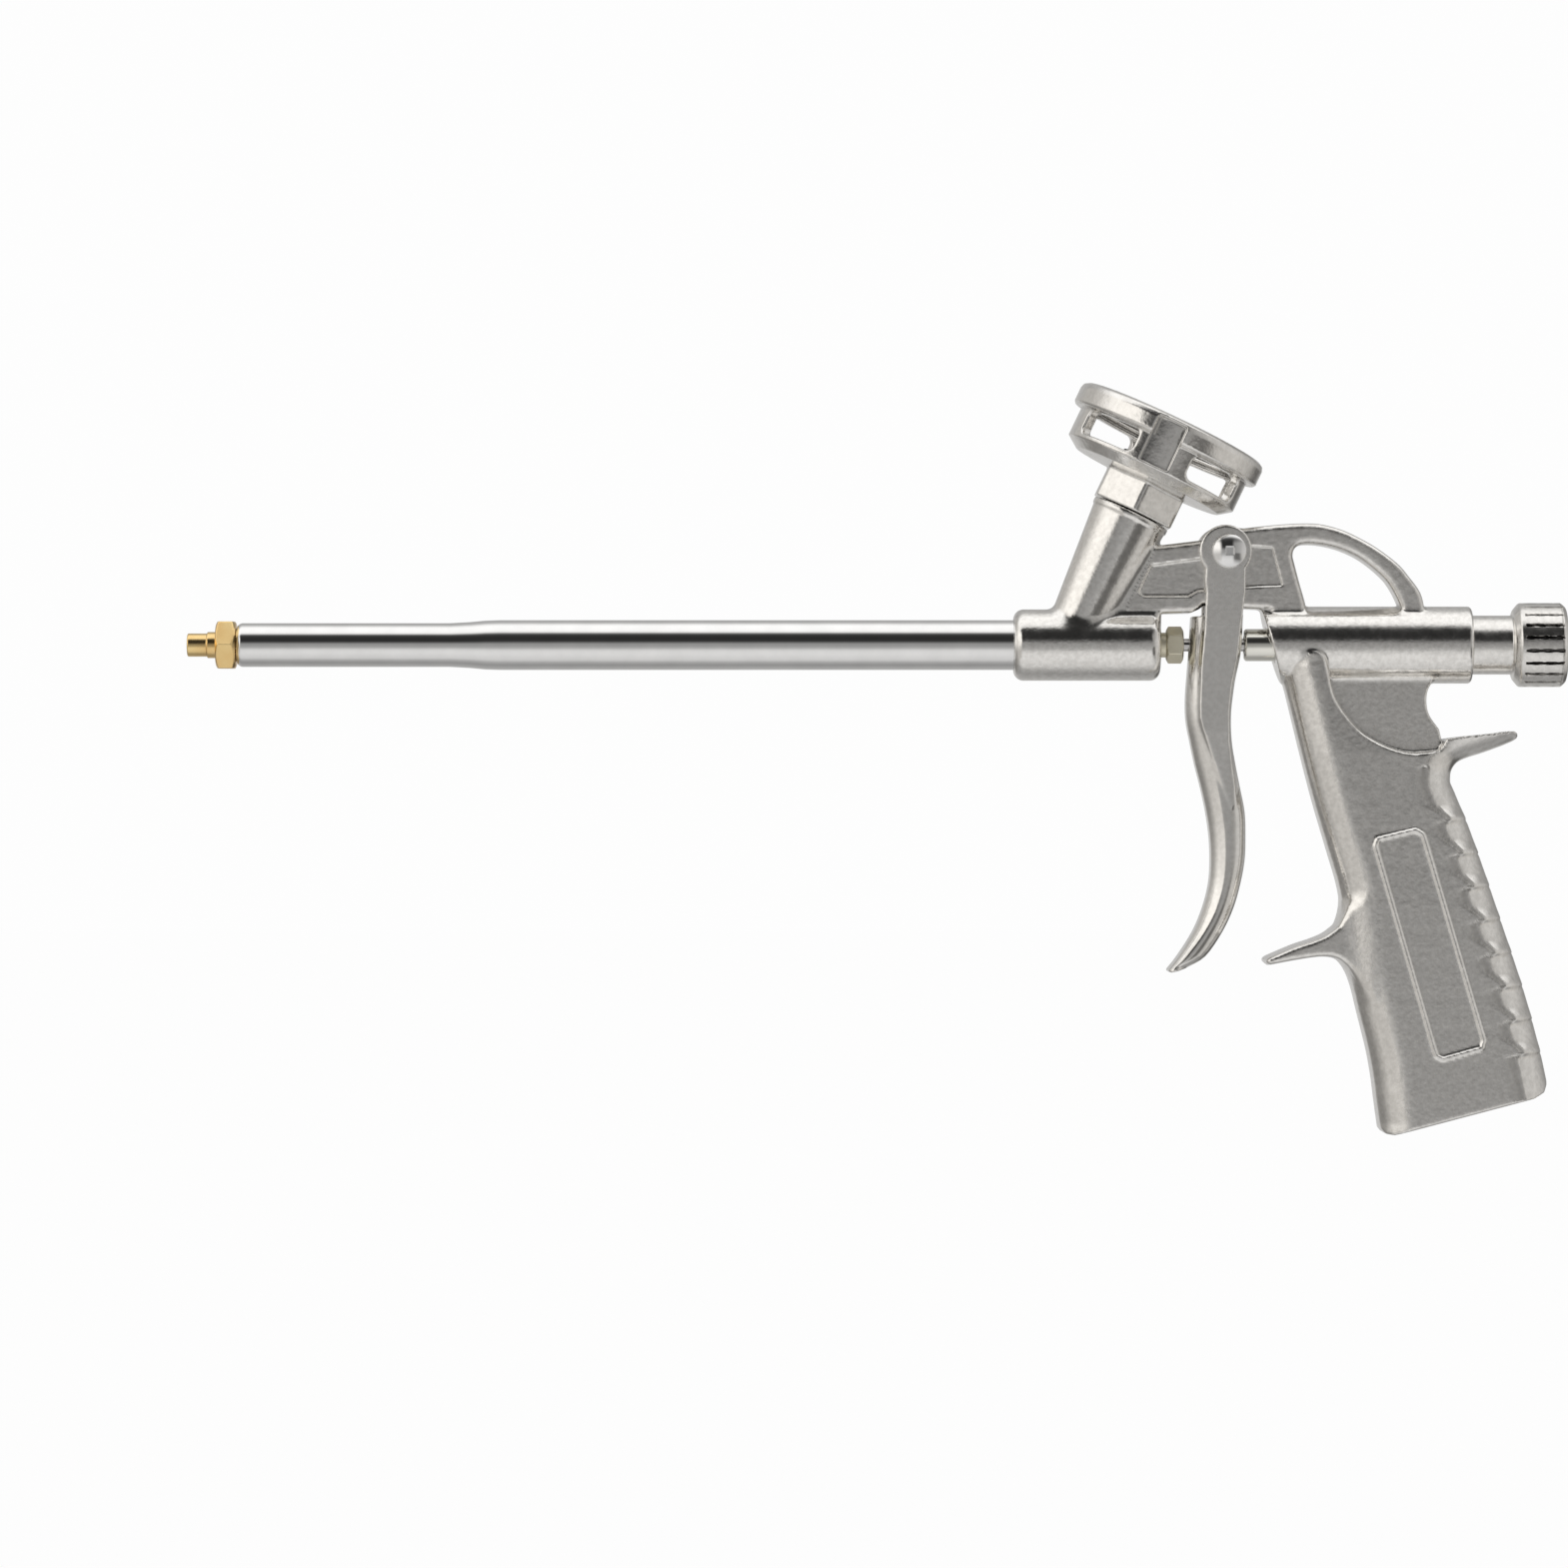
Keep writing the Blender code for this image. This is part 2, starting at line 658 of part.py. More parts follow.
def barrel():
    """Stepped steel tube."""
    front = NOZZLE_HEX_REAR_X + GAP
    rear = SOCKET_FLOOR_X - 2 * O_RING_R - 2 * GAP
    thin = BARREL_THIN_R - BARREL_WALL
    wide = BARREL_WIDE_R - BARREL_WALL
    return revolve("barrel", [
        (front, thin), (front, BARREL_THIN_R - 0.7), (front + 0.3, BARREL_THIN_R - 0.2),
        (front + 0.9, BARREL_THIN_R), (BARREL_FLARE_FRONT_X, BARREL_THIN_R),
        (BARREL_FLARE_REAR_X, BARREL_WIDE_R), (rear - 0.4, BARREL_WIDE_R), (rear, BARREL_WIDE_R - 0.4),
        (rear, wide), (BARREL_FLARE_REAR_X + 1, wide), (BARREL_FLARE_FRONT_X + 1, thin),
    ], FINE_STEPS)


def barrel_o_ring():
    """Face seal between the end of the barrel and the floor of its socket."""
    return o_ring("barrel_o_ring", SOCKET_FLOOR_X - O_RING_R - GAP, BARREL_WIDE_R - 1.2, O_RING_R)


def nozzle_tip():
    """Brass nozzle: tip, hexagon and threaded shank round the needle seat."""
    hexagonal = hexagon("nozzle_tip", NOZZLE_HEX_FRONT_X, NOZZLE_HEX_REAR_X, NOZZLE_HEX_FLATS, 0.7)
    shank_r = BARREL_THIN_R - BARREL_WALL - GAP
    end = NOZZLE_HEX_REAR_X + NOZZLE_SHANK_LENGTH
    shape = revolve("nozzle_turning", [
        (NOZZLE_TIP_X, 0), (NOZZLE_TIP_X, NOZZLE_TIP_R - 0.3), (NOZZLE_TIP_X + 0.4, NOZZLE_TIP_R),
        (NOZZLE_STEP_X - 0.2, NOZZLE_TIP_R), (NOZZLE_STEP_X, NOZZLE_STEP_R),
        (NOZZLE_HEX_FRONT_X + 0.5, NOZZLE_STEP_R),
        (NOZZLE_HEX_REAR_X - 0.5, shank_r), (end - 0.5, shank_r), (end, shank_r - 0.5), (end, 0),
    ], ROUND_STEPS)
    seat = NOZZLE_STEP_X - 0.2
    bore = revolve("nozzle_bore", [
        (NOZZLE_TIP_X - 1, 0), (NOZZLE_TIP_X - 1, NOZZLE_ORIFICE_R), (seat, NOZZLE_ORIFICE_R),
        (seat + NOZZLE_SEAT_LENGTH, NOZZLE_BORE_R), (end + 1, NOZZLE_BORE_R), (end + 1, 0),
    ], SMALL_STEPS)
    return cut(add(hexagonal, shape), bore)


def gland_nut():
    """Hollow hexagon nut that presses the needle packing."""
    nut = hexagon("gland_nut", GLAND_HEX_FRONT_X, GLAND_HEX_FRONT_X + GLAND_HEX_LENGTH, GLAND_HEX_FLATS, 0.5)
    shank_r = GLAND_BORE_R - GAP
    end = PACKING_FLOOR_X + GLAND_PACKING_LENGTH + GLAND_WASHER_LENGTH + 3 * GAP
    shank = revolve("gland_shank", [
        (end, 0), (end, shank_r - 0.3), (end + 0.3, shank_r), (GLAND_HEX_FRONT_X + 0.6, shank_r),
        (GLAND_HEX_FRONT_X + 0.6, 0),
    ], SMALL_STEPS)
    bore = rod("gland_bore", end - 1, GLAND_HEX_FRONT_X + GLAND_HEX_LENGTH + 1, NEEDLE_BORE_R, SMALL_STEPS)
    return cut(add(nut, shank), bore)


def gland_packing():
    """Soft packing round the needle."""
    start = PACKING_FLOOR_X + GAP
    return ring("gland_packing", start, start + GLAND_PACKING_LENGTH, NEEDLE_BORE_R, GLAND_BORE_R - GAP, SMALL_STEPS)


def gland_washer():
    """Washer between the packing and the gland nut."""
    start = PACKING_FLOOR_X + GLAND_PACKING_LENGTH + 2 * GAP
    return ring("gland_washer", start, start + GLAND_WASHER_LENGTH, NEEDLE_BORE_R, GLAND_BORE_R - GAP, SMALL_STEPS)


def adapter_turning():
    """Turned blank of the adapter above its hexagon: bottom plate, cage wall, band, cup and central boss."""
    plate_foot = COLLAR_TOP + GAP + ADAPTER_HEX_LENGTH
    return revolve("can_adapter", [
        (plate_foot - 0.6, 0), (plate_foot - 0.6, 7.0), (plate_foot, PLATE_R), (PLATE_TOP, CAGE_R),
        (CAGE_TOP, CAGE_R), (CAGE_TOP + 0.2, BAND_R - 0.3), (CAGE_TOP + 0.6, BAND_R),
        (RIM_TOP - 1.6, BAND_R), (RIM_TOP - 0.5, BAND_R - 0.5), (RIM_TOP, BAND_R - 1.6),
        (RIM_TOP, CUP_R + 0.6), (RIM_TOP - 1.0, CUP_R), (RIM_TOP - 1.6, CUP_THREAD_R),
        (RIM_TOP - 2.2, CUP_THREAD_R), (RIM_TOP - 2.8, CUP_R), (RIM_TOP - 3.6, CUP_R),
        (RIM_TOP - 4.2, CUP_THREAD_R), (RIM_TOP - 4.8, CUP_THREAD_R), (RIM_TOP - 5.4, CUP_R),
        (CUP_FLOOR, CUP_R), (CUP_FLOOR, BOSS_R), (BOSS_TOP - 0.5, BOSS_R), (BOSS_TOP, BOSS_R - 0.5), (BOSS_TOP, 0),
    ], FINE_STEPS)


def can_adapter():
    """Can adapter: stem with the valve bore, hexagon, and a windowed cup with a thread for the can."""
    body = adapter_turning()
    foot = COLLAR_TOP + GAP
    hexagonal = hexagon("adapter_hexagon", foot, foot + ADAPTER_HEX_LENGTH, ADAPTER_HEX_FLATS, 0.8)
    stem_r = TUBE_THREAD_R - GAP
    end = foot - ADAPTER_STEM_LENGTH
    stem = revolve("adapter_stem", [
        (end, 0), (end, stem_r - 0.5), (end + 0.5, stem_r), (foot + 1, stem_r), (foot + 1, 0),
    ], ROUND_STEPS)
    bore = revolve("adapter_bore", [
        (end - 1, 0), (end - 1, VALVE_BORE_R), (VALVE_ROOF, VALVE_BORE_R), (VALVE_ROOF, VALVE_PASSAGE_R),
        (BOSS_TOP + 1, VALVE_PASSAGE_R), (BOSS_TOP + 1, 0),
    ], SMALL_STEPS)
    add(body, hexagonal, stem)
    cut(body, bore)
    for centre in (-WINDOW_CENTRE, WINDOW_CENTRE, 180 - WINDOW_CENTRE, 180 + WINDOW_CENTRE):
        turns = (centre - WINDOW_WIDTH / 2, centre + WINDOW_WIDTH / 2)
        cut(body, sector("window", (CUP_R - 1.5, BAND_R + 1), turns, (CUP_FLOOR - 0.4, CAGE_TOP - 0.1), 5))
    for side in (0, 180):
        turns = (side + POCKET_FROM, side + POCKET_TO)
        cut(body, sector("pocket", (CAGE_R - POCKET_DEPTH, BAND_R + 1), turns, (PLATE_TOP + 0.6, RIM_TOP - 1.2), 3))
    return body


def adapter_gasket():
    """Ring that seals the adapter against the top of the inlet tube."""
    return o_ring("adapter_gasket", COLLAR_TOP - 0.6, TUBE_THREAD_R + 0.6, 0.5)


def can_seal_ring():
    """Flat seal round the boss on the floor of the cup."""
    start = CUP_FLOOR + GAP
    return ring("can_seal_ring", start, start + CAN_SEAL_LENGTH, BOSS_R + GAP, CAN_SEAL_R, ROUND_STEPS)


def seat_face():
    """Station of the underside of the valve seat."""
    return VALVE_ROOF - GAP - SEAT_LENGTH


def ball_station():
    """Station of the middle of the closed ball, a clearance below its seat."""
    return seat_face() - math.sqrt(BALL_R**2 - SEAT_BORE_R**2) - 1.3 * GAP


def valve_seat():
    """Soft seat of the check valve."""
    return ring("valve_seat", seat_face(), VALVE_ROOF - GAP, SEAT_BORE_R, VALVE_BORE_R - GAP, SMALL_STEPS)


def check_ball():
    """Ball of the check valve."""
    outline = []
    for i in range(9):
        turn = math.pi * i / 8
        radius = 0 if i in (0, 8) else BALL_R * math.sin(turn)
        outline.append((-BALL_R * math.cos(turn), radius))
    ball = revolve("check_ball", outline, SMALL_STEPS)
    ball.location = (ball_station(), 0, 0)
    return ball


def retainer_top():
    """Station of the top of the ring that holds the valve spring."""
    return COLLAR_TOP + GAP - ADAPTER_STEM_LENGTH + 1.2 + RETAINER_LENGTH


def valve_retainer():
    """Threaded ring under the valve spring."""
    top = retainer_top()
    return ring("valve_retainer", top - RETAINER_LENGTH, top, 2.0, VALVE_BORE_R - GAP, SMALL_STEPS)


def valve_spring():
    """Spring that lifts the ball onto its seat."""
    low = retainer_top() + GAP + VALVE_SPRING_WIRE_R
    touch = ball_station() - math.sqrt(BALL_R**2 - VALVE_SPRING_R**2)
    high = touch - 1.4 * GAP - VALVE_SPRING_WIRE_R
    return coil("valve_spring", low, high, VALVE_SPRING_R, VALVE_SPRING_WIRE_R, VALVE_SPRING_TURNS, 10, 5)


def cheek_outline():
    """Side view of one trigger cheek, round at the pivot."""
    outline = []
    for degrees in range(-32, 213, 22):
        turn = math.radians(degrees)
        outline.append((EYE_R * math.cos(turn), PIVOT_Z + EYE_R * math.sin(turn)))
    outline += [
        (CHEEK_FRONT_X, 16.0), (CHEEK_FRONT_X, CHEEK_STEP_Z), (-4.6, -18.5), CHEEK_TOE,
        (2.5, -30.6), (1.3, -22.1), (1.1, -15.5), (1.7, -9.5), (2.8, -3.5), (3.3, 5.8), (4.3, 14.0),
    ]
    return outline


def trigger():
    """Trigger: lever, two cheeks with pivot eyes and the slot for the needle."""
    lever = skin("trigger", [grip_loop(*section) for section in LEVER_SECTIONS], closed=False)
    for side in (-1, 1):
        cheek = slab("cheek", cheek_outline(), [
            (side * CHEEK_INNER, 0), (side * (CHEEK_OUTER - 0.8), 0), (side * CHEEK_OUTER, 0.8),
        ])
        add(lever, cheek)
    cut(lever, along_y(rod("eye", -CHEEK_OUTER - 1, CHEEK_OUTER + 1, PIVOT_HOLE_R, SMALL_STEPS)))
    low, high = -NEEDLE_SLOT_HEIGHT, NEEDLE_SLOT_HEIGHT
    slot = ((-14, low), (-14, high), (8, high), (8, low))
    cut(lever, slab("needle_slot", slot, [(-NEEDLE_SLOT_HALF, 0), (NEEDLE_SLOT_HALF, 0)]))
    return recentre(lever, (0, 0, PIVOT_Z))


def dome(x0, side):
    """Outline of a dome head that starts at x0 and rises in the direction side."""
    outline = [(x0, PIVOT_HEAD_R - 0.15), (x0 + side * 0.4, PIVOT_HEAD_R)]
    for i in range(1, 5):
        turn = math.pi / 2 * i / 5
        outline.append((x0 + side * (0.4 + (PIVOT_HEAD_HEIGHT - 0.4) * math.sin(turn)),
                        PIVOT_HEAD_R * math.cos(turn) ** 0.8))
    outline.append((x0 + side * PIVOT_HEAD_HEIGHT, 0))
    return outline


def pivot_screw():
    """Dome-headed screw on the near side of the trigger."""
    start = -CHEEK_OUTER - GAP
    tip = CHEEK_INNER - 1.0
    outline = [(tip, 0), (tip, PIVOT_SCREW_R - 0.3), (tip - 0.4, PIVOT_SCREW_R), (start, PIVOT_SCREW_R)]
    screw = revolve("pivot_screw", outline + dome(start, -1), 24)
    top = start - PIVOT_HEAD_HEIGHT
    cut(screw, hexagon("recess", top - 1, top + 1.3, PIVOT_RECESS_FLATS, 0.05))
    return recentre(along_y(screw), (0, 0, PIVOT_Z))


def pivot_sleeve_nut():
    """Sleeve nut that the trigger turns on, with its head on the far side."""
    start = CHEEK_OUTER + GAP
    mouth = -CHEEK_OUTER + 0.2
    floor = CHEEK_INNER - 0.4
    bore_r = PIVOT_SCREW_R + GAP
    outline = [(floor, 0), (floor, bore_r), (mouth, bore_r), (mouth, SLEEVE_R - 0.2), (mouth + 0.2, SLEEVE_R),
               (start, SLEEVE_R)]
    return recentre(along_y(revolve("pivot_sleeve_nut", outline + dome(start, 1), 24)), (0, 0, PIVOT_Z))


def needle():
    """Valve needle: a long rod with a seat cone and a pin at its front end."""
    tip = NOZZLE_TIP_X + NEEDLE_SETBACK
    cone = NOZZLE_STEP_X + GAP - 0.2
    return revolve("needle", [
        (tip, 0), (tip, NEEDLE_PIN_R - 0.3), (tip + 0.4, NEEDLE_PIN_R), (cone, NEEDLE_PIN_R),
        (cone + NEEDLE_CONE_LENGTH, NEEDLE_R), (NEEDLE_TAIL_X - 0.5, NEEDLE_R),
        (NEEDLE_TAIL_X, NEEDLE_R - 0.5), (NEEDLE_TAIL_X, 0),
    ], SMALL_STEPS)


def pull_sleeve():
    """Sleeve that the trigger pushes back, with a shoulder for the spring."""
    nose = SLEEVE_NOSE_X
    return revolve("pull_sleeve", [
        (nose, NEEDLE_BORE_R + 0.3), (nose, PULL_SLEEVE_R - 0.5), (nose + 0.5, PULL_SLEEVE_R),
        (SHOULDER_X, PULL_SLEEVE_R), (SHOULDER_X, SHOULDER_R - 0.3), (SHOULDER_X + 0.3, SHOULDER_R),
        (SHOULDER_X + SHOULDER_LENGTH, SHOULDER_R), (SHOULDER_X + SHOULDER_LENGTH, NEEDLE_BORE_R),
        (nose + 0.5, NEEDLE_BORE_R),
    ], 24)


def needle_lock_nut():
    """Nut on the needle behind the pull sleeve."""
    start = SHOULDER_X + SHOULDER_LENGTH + GAP
    nut = hexagon("needle_lock_nut", start, start + LOCK_NUT_LENGTH, LOCK_NUT_FLATS, 0.4)
    return cut(nut, rod("nut_bore", start - 1, start + LOCK_NUT_LENGTH + 1, NEEDLE_BORE_R, SMALL_STEPS))


def spring_washer_front():
    """Washer between the shoulder of the pull sleeve and the spring."""
    start = SHOULDER_X + SHOULDER_LENGTH + GAP
    return ring("spring_washer_front", start, start + FRONT_WASHER_LENGTH, 3.5, 6.2, 24)


def return_spring():
    """Spring that closes the needle and pushes the trigger forward."""
    start = SHOULDER_X + SHOULDER_LENGTH + 2 * GAP + FRONT_WASHER_LENGTH + SPRING_WIRE_R
    return coil("return_spring", start, SPRING_END_X - SPRING_WIRE_R, SPRING_R, SPRING_WIRE_R, SPRING_TURNS, 12, 5)


def spring_washer_rear():
    """Washer between the spring and the flow knob."""
    start = SPRING_END_X + GAP
    return ring("spring_washer_rear", start, start + REAR_WASHER_LENGTH, 1.9, KNOB_HOLLOW_R - GAP, 24)


def flow_knob():
    """Hollow threaded knob with a fluted head."""
    floor = SPRING_END_X + 2 * GAP + REAR_WASHER_LENGTH
    groove = (KNOB_GROOVE_X - KNOB_RING_R - GAP, KNOB_GROOVE_X + KNOB_RING_R + GAP)
    head = KNOB_NECK_END_X
    plain = [
        (floor, 0), (floor, KNOB_HOLLOW_R), (KNOB_FRONT_X, KNOB_HOLLOW_R), (KNOB_FRONT_X, KNOB_NECK_R - 0.5),
        (KNOB_FRONT_X + 0.5, KNOB_NECK_R), (groove[0], KNOB_NECK_R), (groove[0], KNOB_GROOVE_R),
        (groove[1], KNOB_GROOVE_R), (groove[1], KNOB_NECK_R), (head, KNOB_NECK_R),
    ]
    fluted = [
        (head + 0.2, KNOB_HEAD_R - 1.7, 0.0), (head + 1.4, KNOB_HEAD_R - 0.4, 0.6), (head + 2.4, KNOB_HEAD_R, 1.0),
        (KNOB_END_X - 2.2, KNOB_HEAD_R, 1.0), (KNOB_END_X - 0.9, KNOB_HEAD_R - 0.5, 0.8),
        (KNOB_END_X - 0.2, KNOB_HEAD_R - 1.3, 0.2), (KNOB_END_X, KNOB_HEAD_R - 2.2, 0.0),
    ]
    steps = 2 * KNOB_FLUTES
    outline = [(x, r) for x, r in plain] + [(x, r) for x, r, share in fluted] + [(KNOB_END_X, 0)]
    knob = revolve("flow_knob", outline, steps)
    first = 1 + (len(plain) - 1) * steps
    for k, (x, radius, share) in enumerate(fluted):
        for i in range(0, steps, 2):
            point = knob.data.vertices[first + k * steps + i].co
            shrink = 1 - KNOB_FLUTE_DEPTH * share / radius
            point.y *= shrink
            point.z *= shrink
    return recentre(knob, (REAR_END_X, 0, 0))


def knob_friction_ring():
    """Ring in the groove of the knob that keeps its setting."""
    made = o_ring("knob_friction_ring", KNOB_GROOVE_X, KNOB_GROOVE_R + KNOB_RING_R + 0.25, KNOB_RING_R, 32, 6)
    return recentre(made, (KNOB_GROOVE_X, 0, 0))


def build():
    """Make every part and place it in the drawing frame."""
    clear_scene()
    root = empty("gun_frame", None, (-GRIP_X, 0, -GRIP_Z))
    inlet = empty("inlet_axis", root, (INLET_X, 0, 0))
    inlet.rotation_euler = (0, math.radians(INLET_LEAN - 90), 0)

    cast = material("nickel_plated_casting", (0.55, 0.54, 0.52), 0.33, 1.0)
    chrome = material("chrome_plate", (0.80, 0.80, 0.80), 0.06, 1.0)
    brass = material("brass", (0.83, 0.64, 0.30), 0.22, 1.0)
    zinc = material("yellow_zinc", (0.78, 0.76, 0.55), 0.30, 1.0)
    steel = material("bright_steel", (0.66, 0.66, 0.65), 0.18, 1.0)
    spring = material("spring_steel", (0.42, 0.42, 0.42), 0.30, 1.0)
    rubber = material("black_rubber", (0.02, 0.02, 0.02), 0.60, 0.0)
    plastic = material("white_ptfe", (0.85, 0.84, 0.80), 0.45, 0.0)

    made = (
        (body_casting, root, cast), (barrel, root, chrome), (barrel_o_ring, root, rubber),
        (nozzle_tip, root, brass), (gland_nut, root, zinc), (gland_packing, root, plastic),
        (gland_washer, root, steel), (can_adapter, inlet, cast), (adapter_gasket, inlet, rubber),
        (can_seal_ring, inlet, rubber), (valve_seat, inlet, plastic), (check_ball, inlet, steel),
        (valve_spring, inlet, spring), (valve_retainer, inlet, brass), (trigger, root, cast),
        (pivot_screw, root, chrome), (pivot_sleeve_nut, root, chrome), (needle, root, steel),
        (pull_sleeve, root, chrome), (needle_lock_nut, root, zinc), (spring_washer_front, root, steel),
        (return_spring, root, spring), (spring_washer_rear, root, steel), (flow_knob, root, cast),
        (knob_friction_ring, root, rubber),
    )
    for make, parent, surface in made:
        finish(make(), parent, surface)


build()
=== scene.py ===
"""Looks of the foam dispensing gun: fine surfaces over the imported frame, metal finishes, light and camera."""
import math

import bmesh
import bpy
import numpy as np
from mathutils import Matrix, Vector

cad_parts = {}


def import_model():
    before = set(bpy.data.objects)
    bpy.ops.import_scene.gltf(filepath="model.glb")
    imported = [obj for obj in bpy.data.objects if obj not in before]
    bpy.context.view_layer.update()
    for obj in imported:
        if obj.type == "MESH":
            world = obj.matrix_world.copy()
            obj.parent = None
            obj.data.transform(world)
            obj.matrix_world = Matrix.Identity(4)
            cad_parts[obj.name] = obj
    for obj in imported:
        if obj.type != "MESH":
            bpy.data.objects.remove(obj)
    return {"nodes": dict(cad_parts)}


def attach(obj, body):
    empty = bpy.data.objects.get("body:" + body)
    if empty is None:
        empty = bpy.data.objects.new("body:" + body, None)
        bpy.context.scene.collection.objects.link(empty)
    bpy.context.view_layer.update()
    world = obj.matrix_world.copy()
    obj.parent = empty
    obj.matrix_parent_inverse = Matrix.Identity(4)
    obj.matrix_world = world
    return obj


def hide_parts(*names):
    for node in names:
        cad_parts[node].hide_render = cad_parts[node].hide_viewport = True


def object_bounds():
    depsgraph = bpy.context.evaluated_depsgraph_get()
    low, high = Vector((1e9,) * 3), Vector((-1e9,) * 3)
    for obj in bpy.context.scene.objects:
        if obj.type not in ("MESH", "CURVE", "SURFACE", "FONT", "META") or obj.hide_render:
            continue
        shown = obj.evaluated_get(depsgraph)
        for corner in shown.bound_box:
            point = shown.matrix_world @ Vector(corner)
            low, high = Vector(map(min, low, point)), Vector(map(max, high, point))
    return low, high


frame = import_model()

packed_box = [list(map(float, corner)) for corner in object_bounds()]

# Shapes below are drawn in millimetres with the barrel axis at z = 0 and the trigger pivot above x = 0, as
# the model was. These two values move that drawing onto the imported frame.
GRIP_X, GRIP_Z = 41.0, -52.0
MM = 0.001

# The inlet tube leans back from the vertical and starts on the barrel axis.
INLET_X, LEAN = -36.8, math.radians(25.5)

# Sizes that several pieces share, in millimetres.
PIVOT_Z, PIVOT_HOLE_R = 21.6, 2.8
FRONT_X, FRONT_REAR_X, FRONT_R = -49.7, -15.6, 8.3
REAR_END_X, REAR_R = 56.7, 8.95
WEB_HALF, CHEEK_INNER, LEVER_HALF = 5.0, 5.3, 6.6
SOCKET_X, SOCKET_R, CHAMBER_R = -40.6, 6.1, 3.4
SPRING_CHAMBER_X, SPRING_CHAMBER_R = 23.6, 7.15
THREAD_R, SLEEVE_R, NEEDLE_HOLE_R = 6.3, 3.75, 1.8
NOZZLE_X, BARREL_THIN_R, BARREL_WIDE_R = -230.3, 5.1, 5.8
HEX_FOOT, CUP_FLOOR, RIM = 34.2, 45.0, 57.0
CAGE_R, BAND_R, CUP_R = 21.1, 23.25, 18.5
KNOB_R, KNOB_END_X = 9.75, 78.6


def world(x, y, z):
    """Drawing point in millimetres as a frame point in metres."""
    return Vector((x - GRIP_X, y, z - GRIP_Z)) * MM


# ---------------------------------------------------------------- shapes as signed distances


def smin(a, b, k):
    """Join two shapes with a fillet of about k."""
    h = np.clip(0.5 + 0.5 * (b - a) / k, 0, 1)
    return b + (a - b) * h - k * h * (1 - h)


def smax(a, b, k):
    """Intersect two shapes with a rounded edge of about k."""
    return -smin(-a, -b, k)


def cut(a, b, k=0.4):
    """Take shape b away from shape a."""
    return smax(a, -b, k)


def joined(a, b, edge):
    """Corner between two distances, rounded to radius edge."""
    p, q = a + edge, b + edge
    return np.minimum(np.maximum(p, q), 0) + np.hypot(np.maximum(p, 0), np.maximum(q, 0)) - edge


def tube(x, rho, x0, x1, radius, edge):
    """Round bar along x with rounded ends; rho is the distance from its axis."""
    return joined(np.abs(x - (x0 + x1) / 2) - (x1 - x0) / 2, rho - radius, edge)


def polygon(x, z, points):
    """Signed distance to a closed outline."""
    best = np.float32(1e9)
    inside = False
    count = len(points)
    for i in range(count):
        ax, az = points[i]
        bx, bz = points[(i + 1) % count]
        ex, ez = bx - ax, bz - az
        wx, wz = x - ax, z - az
        t = np.clip((wx * ex + wz * ez) / (ex * ex + ez * ez), 0, 1)
        best = np.minimum(best, (wx - ex * t) ** 2 + (wz - ez * t) ** 2)
        above, below, left = z >= az, z < bz, ex * wz > ez * wx
        inside = inside ^ ((above & below & left) | (~above & ~below & ~left))
    return np.where(inside, -1, 1) * np.sqrt(best)


def curve(points, steps=4):
    """Smooth run through the points."""
    ends = [points[0], *points, points[-1]]
    run = []
    for a, b, c, d in zip(ends, ends[1:], ends[2:], ends[3:]):
        a, b, c, d = map(np.array, (a, b, c, d))
        for i in range(steps):
            t = i / steps
            run.append(tuple(0.5 * (2 * b + (c - a) * t + (2 * a - 5 * b + 4 * c - d) * t * t
                                    + (3 * b - a - 3 * c + d) * t ** 3)))
    return run + [tuple(points[-1])]


def along(z, run):
    """x on a run of points at height z."""
    pts = sorted(run, key=lambda p: p[1])
    return np.interp(z, [p[1] for p in pts], [p[0] for p in pts])


def hex_bar(y, w, flats):
    """Hexagon with one corner toward -y."""
    a, b = np.abs(y), np.abs(w)
    return np.maximum(b, a * math.cos(math.pi / 6) + b * 0.5) - flats / 2


# ---------------------------------------------------------------- surface from a distance field


